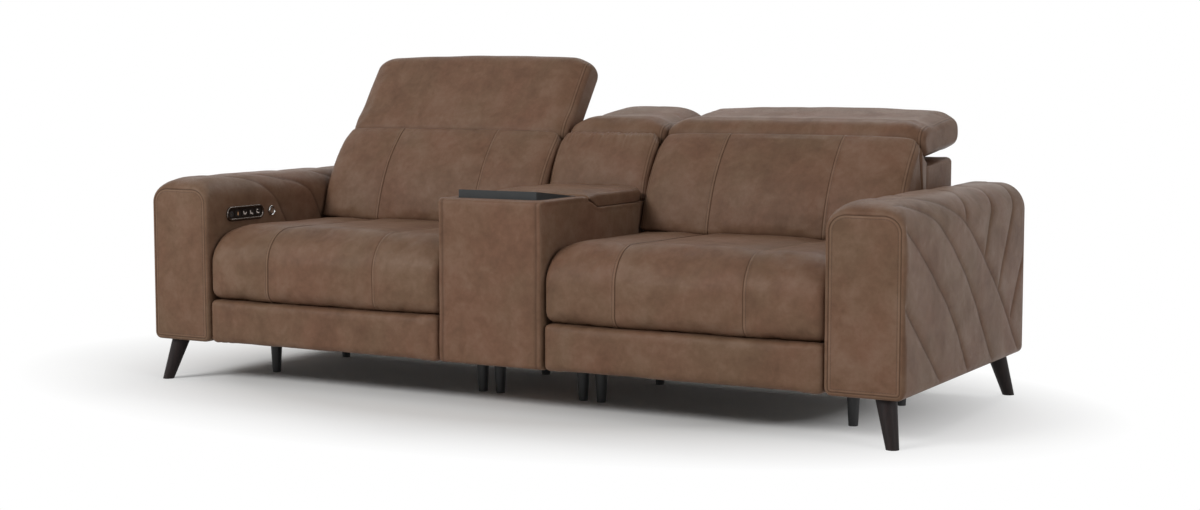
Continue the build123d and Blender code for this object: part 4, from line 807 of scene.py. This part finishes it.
def top_corners(half):
    """Rounds off a back's thin upper edge at both ends."""
    def draw(x, depth, height):
        far = np.hypot(depth - BACK_TIP[0], height - BACK_TIP[1])
        near = np.exp(-((far / TIP_SPREAD) ** 2)) * turned_in(x, half, (40.0, 1.0))
        return -TIP_IN * np.sign(x) * near, TIP_REAR * near, -TIP_DOWN * near
    return draw


back_crown = crowned(CUSHION_HALF, crown=8.0, run=90.0, fall=7.0, low=300.0, high=400.0)
for side in SIDES:
    bay_pad(side, "back", "back", "back_cushion", 0.85, back_outline, BACK_SEAM, BACK_ENDS, 41,
            lift=back_crown, shift=top_corners(CUSHION_HALF), end_seam=BACK_END_SEAM)
    bay_pad(side, "block", "back", "back_block", 0.9, block_outline, None, BLOCK_ENDS, 46, pressure=2.0)


# Headrests. A padded bar with a rolled front, on a shaft in the ears of the back frame. The left one stands
# raised and the right one is laid back; a seam joins the long cover to the round end panels.
HEAD_RADIUS = 56.0
HEAD_REACH = 230.0
HEAD_ROUND = 55.0
HEAD_CROWN = 11.0
HEAD_TILTS = (54.0, 6.0)
HEAD_ENDS = (70.0, 34.0)
NOSE_CORNER = 38.0
ROLL_CORNER = 6.0
END_RINGS = (0.93, 0.82, 0.66, 0.46, 0.25, 0.06)
HEAD_SWELLS = ((3.2, 26.0, 24.0), (-2.0, 88.0, 36.0))


def head_line(tilt):
    """The outline of a head bar that leans up from the rear by tilt."""
    c, s = math.cos(math.radians(tilt)), math.sin(math.radians(tilt))
    low, high, reach = -HEAD_RADIUS, HEAD_RADIUS, HEAD_REACH + HEAD_RADIUS
    ends = ((low, low), (reach, low), (reach, high), (low, high))
    return tuple((HEAD_AXIS[0] + a * c - b * s, HEAD_AXIS[1] + a * s + b * c, HEAD_ROUND, 1)
                 for a, b in ends)


def head_place(tilt, depth, height):
    """How far along a head bar and how far above its middle a place lies."""
    c, s = math.cos(math.radians(tilt)), math.sin(math.radians(tilt))
    back, up = depth - HEAD_AXIS[0], height - HEAD_AXIS[1]
    return back * c + up * s, up * c - back * s


def head_bulge(tilt, half, crown):
    """How a head bar's cover stands out: a puffed front roll, a slight hollow behind it, a crowned nose."""
    def bulge(x, depth, height):
        along, above = head_place(tilt, depth, height)
        roll = sum(rise * np.exp(-(((along - at) / wide) ** 2)) for rise, at, wide in HEAD_SWELLS)
        nose = crown * np.clip(along / HEAD_REACH, 0, 1) * (1 - (x / half) ** 2)
        return ease((above + 30) / 70) * (roll + nose)
    return bulge


def head_corners(tilt, half):
    """Rounds a head bar's corners as seen on its broad face: large at the nose, small at the front roll."""
    def draw(x, depth, height):
        along, _ = head_place(tilt, depth, height)
        shrink = 0
        for over, radius in ((along - HEAD_REACH - HEAD_RADIUS, NOSE_CORNER),
                             (-along - HEAD_RADIUS, ROLL_CORNER)):
            lean = np.clip(over / radius + 1, 0, 0.985)
            shrink = shrink + radius * (1 - np.sqrt(1 - lean**2))
        end = ease((np.abs(x) - half + 2 * NOSE_CORNER) / (2 * NOSE_CORNER))
        return -np.sign(x) * shrink * end, 0, 0
    return draw


for side, tilt in zip(SIDES, HEAD_TILTS):
    bay_pad(side, "headrest", "headrest", "headrest_pad", 0.85, rounded_line(head_line(tilt), 5.0), None,
            HEAD_ENDS, 51, pressure=2.0, most=0.002, end_seam=BACK_END_SEAM, caps=END_RINGS,
            lift=head_bulge(tilt, CUSHION_HALF, HEAD_CROWN), shift=head_corners(tilt, CUSHION_HALF))


# Rear panels. Thin boards wrapped in leather, stapled between the arms and the console low at the back.
# They stop short of the back blocks, which sweep past above them.
REAR_LINE = ((962, 0, 5, 1), (976, 0, 5, 1), (976, 130, 5, 1), (962, 130, 5, 1))
REAR_HALF = 414.0
REAR_ENDS = (4.0, 4.0)
rear_outline = rounded_line(REAR_LINE, 3.5)


@contextlib.contextmanager
def worked(mesh, *sources):
    """All the sources' faces and point values, open to be worked on and then put in a mesh."""
    whole = bmesh.new()
    for source in sources:
        whole.from_mesh(source)
    yield whole
    whole.to_mesh(mesh)
    whole.free()


def as_one(name, pieces):
    """One object of several, with their point values kept."""
    mesh = pieces[0].data.copy()
    with worked(mesh, *[piece.data for piece in pieces]):
        for piece in pieces:
            bpy.data.objects.remove(piece)
    return placed(name, mesh)


rear_pair = [pad(side + "_rear", sign * BAY_MIDDLE, rear_outline, REAR_HALF, None, REAR_ENDS, seed,
                 pressure=0.5, growth=0.0, most=0.001)[0]
             for side, sign, seed in zip(SIDES, (-1, 1), (61, 62))]
rear = as_one("rear_panels_covered", rear_pair)
upholstered(rear, "frame", 0.95, "rear_panels")


# Console body. A board box padded thinly and wrapped in leather, with a seam down each front edge and a
# piped edge that follows the step under the lid.
CONSOLE_HALF = 170.0
CONSOLE_SEAM = 152.0
CONSOLE_PIPING = 12.0
CONSOLE_PUFF = 1.5
CONSOLE_UNEVEN = 1.2
CONSOLE_TOP = 465.0
LEDGE = 432.0
STEP_FRONT = 235.0
STEP_REAR = 330.0
SOLID_STEP_REAR = 290.0
STEP_FOOT = 380.0
LID_REAR = 560.0
VOXEL = 0.005


def skinned(name, node, voxel, rounds):
    """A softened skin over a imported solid: its points and faces, with the edges eased."""
    mesh = bpy.data.meshes.new(name)
    with worked(mesh, nodes[node].data) as whole:
        bmesh.ops.remove_doubles(whole, verts=whole.verts, dist=1e-5)
    piece = placed(name, mesh)
    remesh = piece.modifiers.new("skin", "REMESH")
    remesh.mode = "VOXEL"
    remesh.voxel_size = voxel
    applied(piece, remesh)
    with worked(piece.data, piece.data) as whole:
        for _ in range(rounds):
            bmesh.ops.smooth_vert(whole, verts=whole.verts, factor=0.5, use_axis_x=True, use_axis_y=True,
                                  use_axis_z=True)
        bmesh.ops.recalc_face_normals(whole, faces=whole.faces)
    return piece


def step_level(depth, last):
    """The height of the console's top where it steps down under the lid, ending at the depth last."""
    return LEDGE + (CONSOLE_TOP - LEDGE) * (1 - ease((depth - STEP_FRONT) / (last - STEP_FRONT)))


console = skinned("console", "console_body", VOXEL, 6)
count = len(console.data.vertices)
spots = np.empty(count * 3, np.float32)
console.data.vertices.foreach_get("co", spots)
ways = np.empty(count * 3, np.float32)
console.data.vertex_normals.foreach_get("vector", ways)
ways = ways.reshape(-1, 3)
x, depth, height = spots.reshape(-1, 3).astype(float).T * 1000
depth, height = depth - FRONT * 1000, height - UNDERSIDE * 1000
solid_top = step_level(depth, SOLID_STEP_REAR)
climbed = np.clip((height - STEP_FOOT) / (solid_top - STEP_FOOT), 0, 1)
height = height + climbed * (step_level(depth, STEP_REAR) - solid_top) * (depth < LID_REAR)
front_seam = CONSOLE_SEAM - np.abs(x)
side_seam = height - step_level(depth, STEP_REAR) + CONSOLE_PIPING
on_front = ease((-ways[:, 1] - 0.5) * 4) * (depth < 30)
on_side = ease((np.abs(ways[:, 0]) - 0.5) * 4) * (np.abs(x) > CONSOLE_HALF - 20) * (depth < LID_REAR)
rough_place = np.stack([x, depth, height], -1)
puff = CONSOLE_PUFF - 3.2 * np.exp(-np.abs(front_seam) / 5) + CONSOLE_UNEVEN * ripple(rough_place, 120.0, 71)
puff = puff * on_front
puff = puff + on_side * (1.8 * np.exp(-(((side_seam - 6) / 5) ** 2)) - 1.5 * np.exp(-np.abs(side_seam) / 3))
spots = in_place(x, depth, height) + ways * (puff / 1000)[:, None]
console.data.vertices.foreach_set("co", spots.ravel().astype(np.float32))
# Painted shade darkens the leather along the fold of each front seam.
seam_fold_shade = on_front * np.exp(-((front_seam / 4) ** 2))
for key, value in (("seam", 0 * x + 1), ("crease", seam_fold_shade), ("cut", np.where(on_side > 0.5, 72.0, 71.0))):
    console.data.attributes.new(key, "FLOAT", "POINT").data.foreach_set("value", value.astype(np.float32))
console.data.materials.clear()
console.data.materials.append(mottled_leather)
console.data.shade_smooth()
upholstered(console, "frame", 0.95, "console_body")


# Console back and head roll. A fixed cushion gathered into a puckered seam under a fixed roll that matches
# the laid-back headrest; both are stapled to the rear of the console's box.
CONSOLE_BACK_ENDS = (22.0, 14.0)
CONSOLE_ROLL_ENDS = (100.0, 40.0)
CONSOLE_BACK_FOOT = (606.0, 434.0)
CONSOLE_BACK_BELLY = (628.0, 550.0)
CONSOLE_BACK_LINE = (
    (CONSOLE_BACK_FOOT + (12, 1),) + bent(CONSOLE_BACK_FOOT, CONSOLE_BACK_BELLY, BACK_TIP)
    + (BACK_TIP + (8, 0.7),) + recess(57.0, 178, 262)
    + ((806, 558, 10, 0), (985, 576, 16, 0.7), (985, 433, 6, 0.7), (614, 433, 4, 0)))
PUCKER_DEEP = 1.5
PUCKER_FADE = 24.0
CONSOLE_CROWN = 5.0


def puckers(x, depth, height):
    """Gathers across the cushion, deepest at the seam under the roll."""
    near = np.exp(-np.maximum(BACK_TIP[1] - 6 - height, 0) / PUCKER_FADE) * (depth < 740)
    wave = np.sin(x / 3.3 + 1.4 * np.sin(x / 11.0)) + 0.5 * np.sin(x / 2.2 + 2.0)
    return PUCKER_DEEP * near * wave + CONSOLE_CROWN * (1 - (x / CONSOLE_HALF) ** 2)


console_back, _ = pad("console_back", 0.0, rounded_line(CONSOLE_BACK_LINE, 4.5), CONSOLE_HALF, None,
                      CONSOLE_BACK_ENDS, 81, growth=0.01, most=0.006, lift=puckers,
                      shift=top_corners(CONSOLE_HALF), end_seam=9.0, step=2.5)
upholstered(console_back, "frame", 0.85, "console_back_cushion")
console_roll, _ = pad("console_roll", 0.0, rounded_line(head_line(HEAD_TILTS[1]), 5.0), CONSOLE_HALF, None,
                      CONSOLE_ROLL_ENDS, 82, pressure=2.0, most=0.002, end_seam=13.0, caps=END_RINGS,
                      lift=head_bulge(HEAD_TILTS[1], CONSOLE_HALF, 9.0),
                      shift=head_corners(HEAD_TILTS[1], CONSOLE_HALF))
upholstered(console_roll, "frame", 0.85, "console_head_roll")


# Console lid. A padded board with a rolled front lip that follows the step of the console, on a steel pin
# hinge at the rear.
LID_NOSE = 262.5
LID_SINK = 3.0
LID_ENDS = (20.0, 13.0)
LID_CROWN = 3.0
LID_LINE = tuple(
    (depth, step_level(depth, STEP_REAR) - LID_SINK, 0, 0.4) for depth in range(328, 270, -6)) + (
    (LID_NOSE, step_level(LID_NOSE, STEP_REAR) - LID_SINK, 2, 0.4), (LID_NOSE, 467, 5, 1),
    (330, 473, 120, 1), (583, 472, 14, 1), (583, 455, 3, 0), (571, 433, 3, 0))


def lid_crown(x, depth, height):
    """The slight crown of the lid's upper face."""
    return LID_CROWN * (1 - (x / CONSOLE_HALF) ** 2) * (height > 460)


lid, _ = pad("lid", 0.0, rounded_line(LID_LINE, 3.5), CONSOLE_HALF, None, LID_ENDS, 91, pressure=2.0,
             most=0.003, lift=lid_crown)
upholstered(lid, "console_lid", 0.9, "console_lid")


# Cup tray, storage bin and tray flap. Injection mouldings: black inside, and a slate grey wedge flap with a
# fine spark-eroded grain that turns up on two pins.
slate_moulding = coated("slate_moulding", (40, 42, 43), (50, 52, 53), 1500.0, 0.0002, 0.5,
                        Specular_IOR_Level=0.3)
paint(black_moulding, "cup_tray", "storage_bin", "charging_ports")
paint(slate_moulding, "tray_flap")


# Controls. A gloss black strip let into each arm's inner face, in a plated frame, with a charging port and
# four keys with printed marks. Beside it is a round plated key in a ring of its own. All keys are clipped in
# and travel.
ARM_INNER = ARM_MIDDLE - ARM_HALF
STRIP_FACE = ARM_INNER - 3.0
KEY_FACE = STRIP_FACE - 1.0
STRIP = (178.5, 382.0, 88.5, 22.0)
ROUND_KEY = (306.0, 382.0, 15.0, 15.0)
FRAME_SECTION = ((0.0, -2.5), (0.0, 0.6), (0.8, 1.7), (2.2, 2.2), (4.0, 1.9), (6.4, 0.8), (7.2, 0.1),
                 (7.2, -2.5))
ROUND_SHARE = 0.45
KEY_PLACES = (-37.5, -5.5, 26.5, 58.5)
MARKS = (
    (((0, -5), (0, 5)),),
    (((-6, 6), (-3, -3)), ((-3, -3), (5, -3)), ((5, -3), (8, 2))),
    (((-5, 6), (-4, -3)), ((-4, -3), (5, -3)), ((5, -3), (6, -7))),
    (((-8, 3), (-3, -3)), ((-3, -3), (5, -3)), ((-6, 7), (0, 7))),
)
MARK_WIDTH = 3.0
MARK_HEIGHT = 0.3
DISH = ((0.3, -1.4), (4.0, -1.2), (7.0, -0.5), (8.8, 0.2), (9.8, 0.2), (10.4, -0.4), (10.5, -1.2),
        (10.5, -6.5))

bright_plate = coated("bright_plate", (172, 172, 172), (206, 206, 206), 300.0, 0.00001, 0.14, 1.0)
smoked_plate = coated("smoked_plate", (84, 78, 74), (112, 105, 100), 300.0, 0.00001, 0.2, 1.0)
strip_gloss = coated("strip_gloss", (13, 13, 14), (20, 20, 21), 900.0, 0.00001, 0.18)
key_gloss = coated("key_gloss", (22, 22, 23), (30, 30, 31), 900.0, 0.00002, 0.3)
pale_mark = coated("pale_mark", (232, 222, 214), (246, 238, 232), 1200.0, 0.00001, 0.5)
amber_mark = coated("amber_mark", (226, 168, 120), (240, 190, 146), 1200.0, 0.00001, 0.5)
paint(strip_gloss, "control_bezels")


def plain_mesh(name, places, faces, finish, body):
    """An object of points and faces that all turn outwards, riding on a body."""
    mesh = bpy.data.meshes.new(name)
    mesh.from_pydata(np.reshape(places, (-1, 3)).tolist(), [], faces)
    with worked(mesh, mesh) as whole:
        bmesh.ops.recalc_face_normals(whole, faces=whole.faces)
    mesh.materials.append(finish)
    piece = placed(name, mesh)
    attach(piece, body)
    return piece


for name, (depth, height, long, tall), share, plate in (
        ("control_frames", STRIP, 1.0, smoked_plate),
        ("round_key_rings", ROUND_KEY, ROUND_SHARE, bright_plate)):
    corners = [(depth + a * long, height + b * tall, tall, 1)
               for a, b in ((-1, -1), (1, -1), (1, 1), (-1, 1))]
    loop, outward, _ = rounded_line(corners, 1.6)
    inset, proud = np.array(FRAME_SECTION).T
    spots = loop[:, None] - outward[:, None] * (inset * share)[None, :, None]
    index = np.arange(spots.shape[0] * spots.shape[1]).reshape(spots.shape[:2])
    on, beside = np.roll(index, -1, axis=0), np.roll(index, -1, axis=1)
    quads = np.stack([index, on, np.roll(on, -1, axis=1), beside], -1).reshape(-1, 4)
    pair = [in_place(sign * (STRIP_FACE - proud), spots[..., 0], spots[..., 1]) for sign in (-1, 1)]
    frames = plain_mesh(name, pair, quads.tolist() + (quads + index.size).tolist(), plate, "frame")
    frames.data.shade_smooth()

BOX_FACES = [(0, 1, 2, 3), (7, 6, 5, 4), (0, 4, 5, 1), (1, 5, 6, 2), (2, 6, 7, 3), (3, 7, 4, 0)]
turns = np.linspace(0, 2 * math.pi, 40, endpoint=False)
for side, sign in zip(SIDES, (-1, 1)):
    for number, (offset, strokes) in enumerate(zip(KEY_PLACES, MARKS), 1):
        key = "%s_button_%d" % (side, number)
        paint(key_gloss, key)
        mark_places, mark_faces = [], []
        for a, b in np.array(strokes, float):
            run = (b - a) / np.linalg.norm(b - a)
            aside = np.array((-run[1], run[0])) * MARK_WIDTH / 2
            flat = np.array([a + aside, b + aside, b - aside, a - aside]) + (STRIP[0] + offset, STRIP[1])
            mark_faces += [[len(mark_places) + k for k in face] for face in BOX_FACES]
            for out in (-MARK_HEIGHT, MARK_HEIGHT):
                mark_places += in_place(sign * (KEY_FACE - out), flat[:, 0], flat[:, 1]).tolist()
        plain_mesh(key + "_mark", mark_places, mark_faces, amber_mark if number == 1 else pale_mark, key)
    wide, proud = np.array(DISH).T
    rings = in_place(sign * (KEY_FACE - proud[:, None]), ROUND_KEY[0] + wide[:, None] * np.cos(turns),
                     ROUND_KEY[1] + wide[:, None] * np.sin(turns))
    round_key = cover(side + "_round_key", rings, bright_plate)
    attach(round_key, side + "_home_button")
    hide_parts(side + "_home_button")


# Studio. A pale floor that fades to white round the sofa, soft lamps in front, on the right and behind, and
# the camera at the photograph's height and angle.
FLOOR_HALF = 30.0
FADE_PLACE = {"Location": (0.1, 0.05, 0.0), "Scale": (0.62, 1.0, 1.0)}
FADE_RANGE = (0.62, 1.12)


def straight_rays(tree):
    """1 for rays that show what they meet, in the picture, a mirror or glass, and 0 for soft light."""
    rays = put(tree, "LightPath").outputs
    return calc(tree, "MAXIMUM", rays["Is Camera Ray"],
                calc(tree, "MAXIMUM", rays["Is Glossy Ray"], rays["Is Transmission Ray"]))


floor_mesh = bpy.data.meshes.new("floor")
floor_corners = [(x * FLOOR_HALF, y * FLOOR_HALF, 0) for x, y in ((-1, -1), (1, -1), (1, 1), (-1, 1))]
floor_mesh.from_pydata(floor_corners, [], [(0, 1, 2, 3)])
floor = placed("floor", floor_mesh)
floor_paint, tree, shader = new_finish("floor_paint", Roughness=0.9, Base_Color=(0.9, 0.9, 0.89, 1))
middle = put(tree, "Mapping", {"Vector": object_place(tree), **FADE_PLACE}).outputs[0]
away = put(tree, "VectorMath", {0: middle}, operation="LENGTH").outputs["Value"]
white = put(tree, "Emission", {"Color": (1, 1, 1, 1), "Strength": 1.0}).outputs[0]
share = calc(tree, "MULTIPLY", straight_rays(tree), spread(tree, away, *FADE_RANGE, 0.0, 1.0))
both = put(tree, "MixShader", {0: share, 1: shader.outputs[0], 2: white}).outputs[0]
tree.links.new(both, tree.nodes["Material Output"].inputs["Surface"])
floor_mesh.materials.append(floor_paint)

world = bpy.data.worlds.new("studio")
bpy.context.scene.world = world
world.use_nodes = True
tree = world.node_tree
sky = put(tree, "TexCoord").outputs["Generated"]
climbing = put(tree, "SeparateXYZ", {0: sky}).outputs[2]
dome = spread(tree, climbing, 0.0, 0.8, 0.23, 0.27)
level = calc(tree, "MAXIMUM", dome, straight_rays(tree))
tree.links.new(level, tree.nodes["Background"].inputs["Strength"])
tree.nodes["Background"].inputs["Color"].default_value = (1, 1, 1, 1)


def softbox(name, place, target, size, power):
    """A large soft lamp."""
    lamp = bpy.data.lights.new(name, "AREA")
    lamp.shape = "RECTANGLE"
    lamp.size, lamp.size_y = size
    lamp.energy = power
    holder = placed(name, lamp)
    holder.location = place
    holder.rotation_euler = (Vector(target) - Vector(place)).to_track_quat("-Z", "Y").to_euler()


softbox("key", (-5.0, -9.0, 6.2), (0.0, 0.0, 0.5), (5.0, 2.6), 860.0)
softbox("side", (9.0, -2.5, 3.2), (0.0, 0.0, 0.5), (4.0, 3.0), 190.0)
softbox("rear", (0.6, 4.8, 6.2), (0.0, 0.3, 0.4), (4.0, 2.4), 130.0)

YAW, PITCH = -0.5063, -0.0945
lens = bpy.data.cameras.new("camera")
lens.lens = 58.66
lens.sensor_width = 36.0
camera = placed("camera", lens)
camera.location = (2.8765, -5.0823, 0.9461)
camera.rotation_euler = Vector((math.sin(YAW) * math.cos(PITCH), math.cos(YAW) * math.cos(PITCH),
                                math.sin(PITCH))).to_track_quat("-Z", "Y").to_euler()
bpy.context.scene.camera = camera
bpy.context.scene.view_settings.view_transform = "Standard"
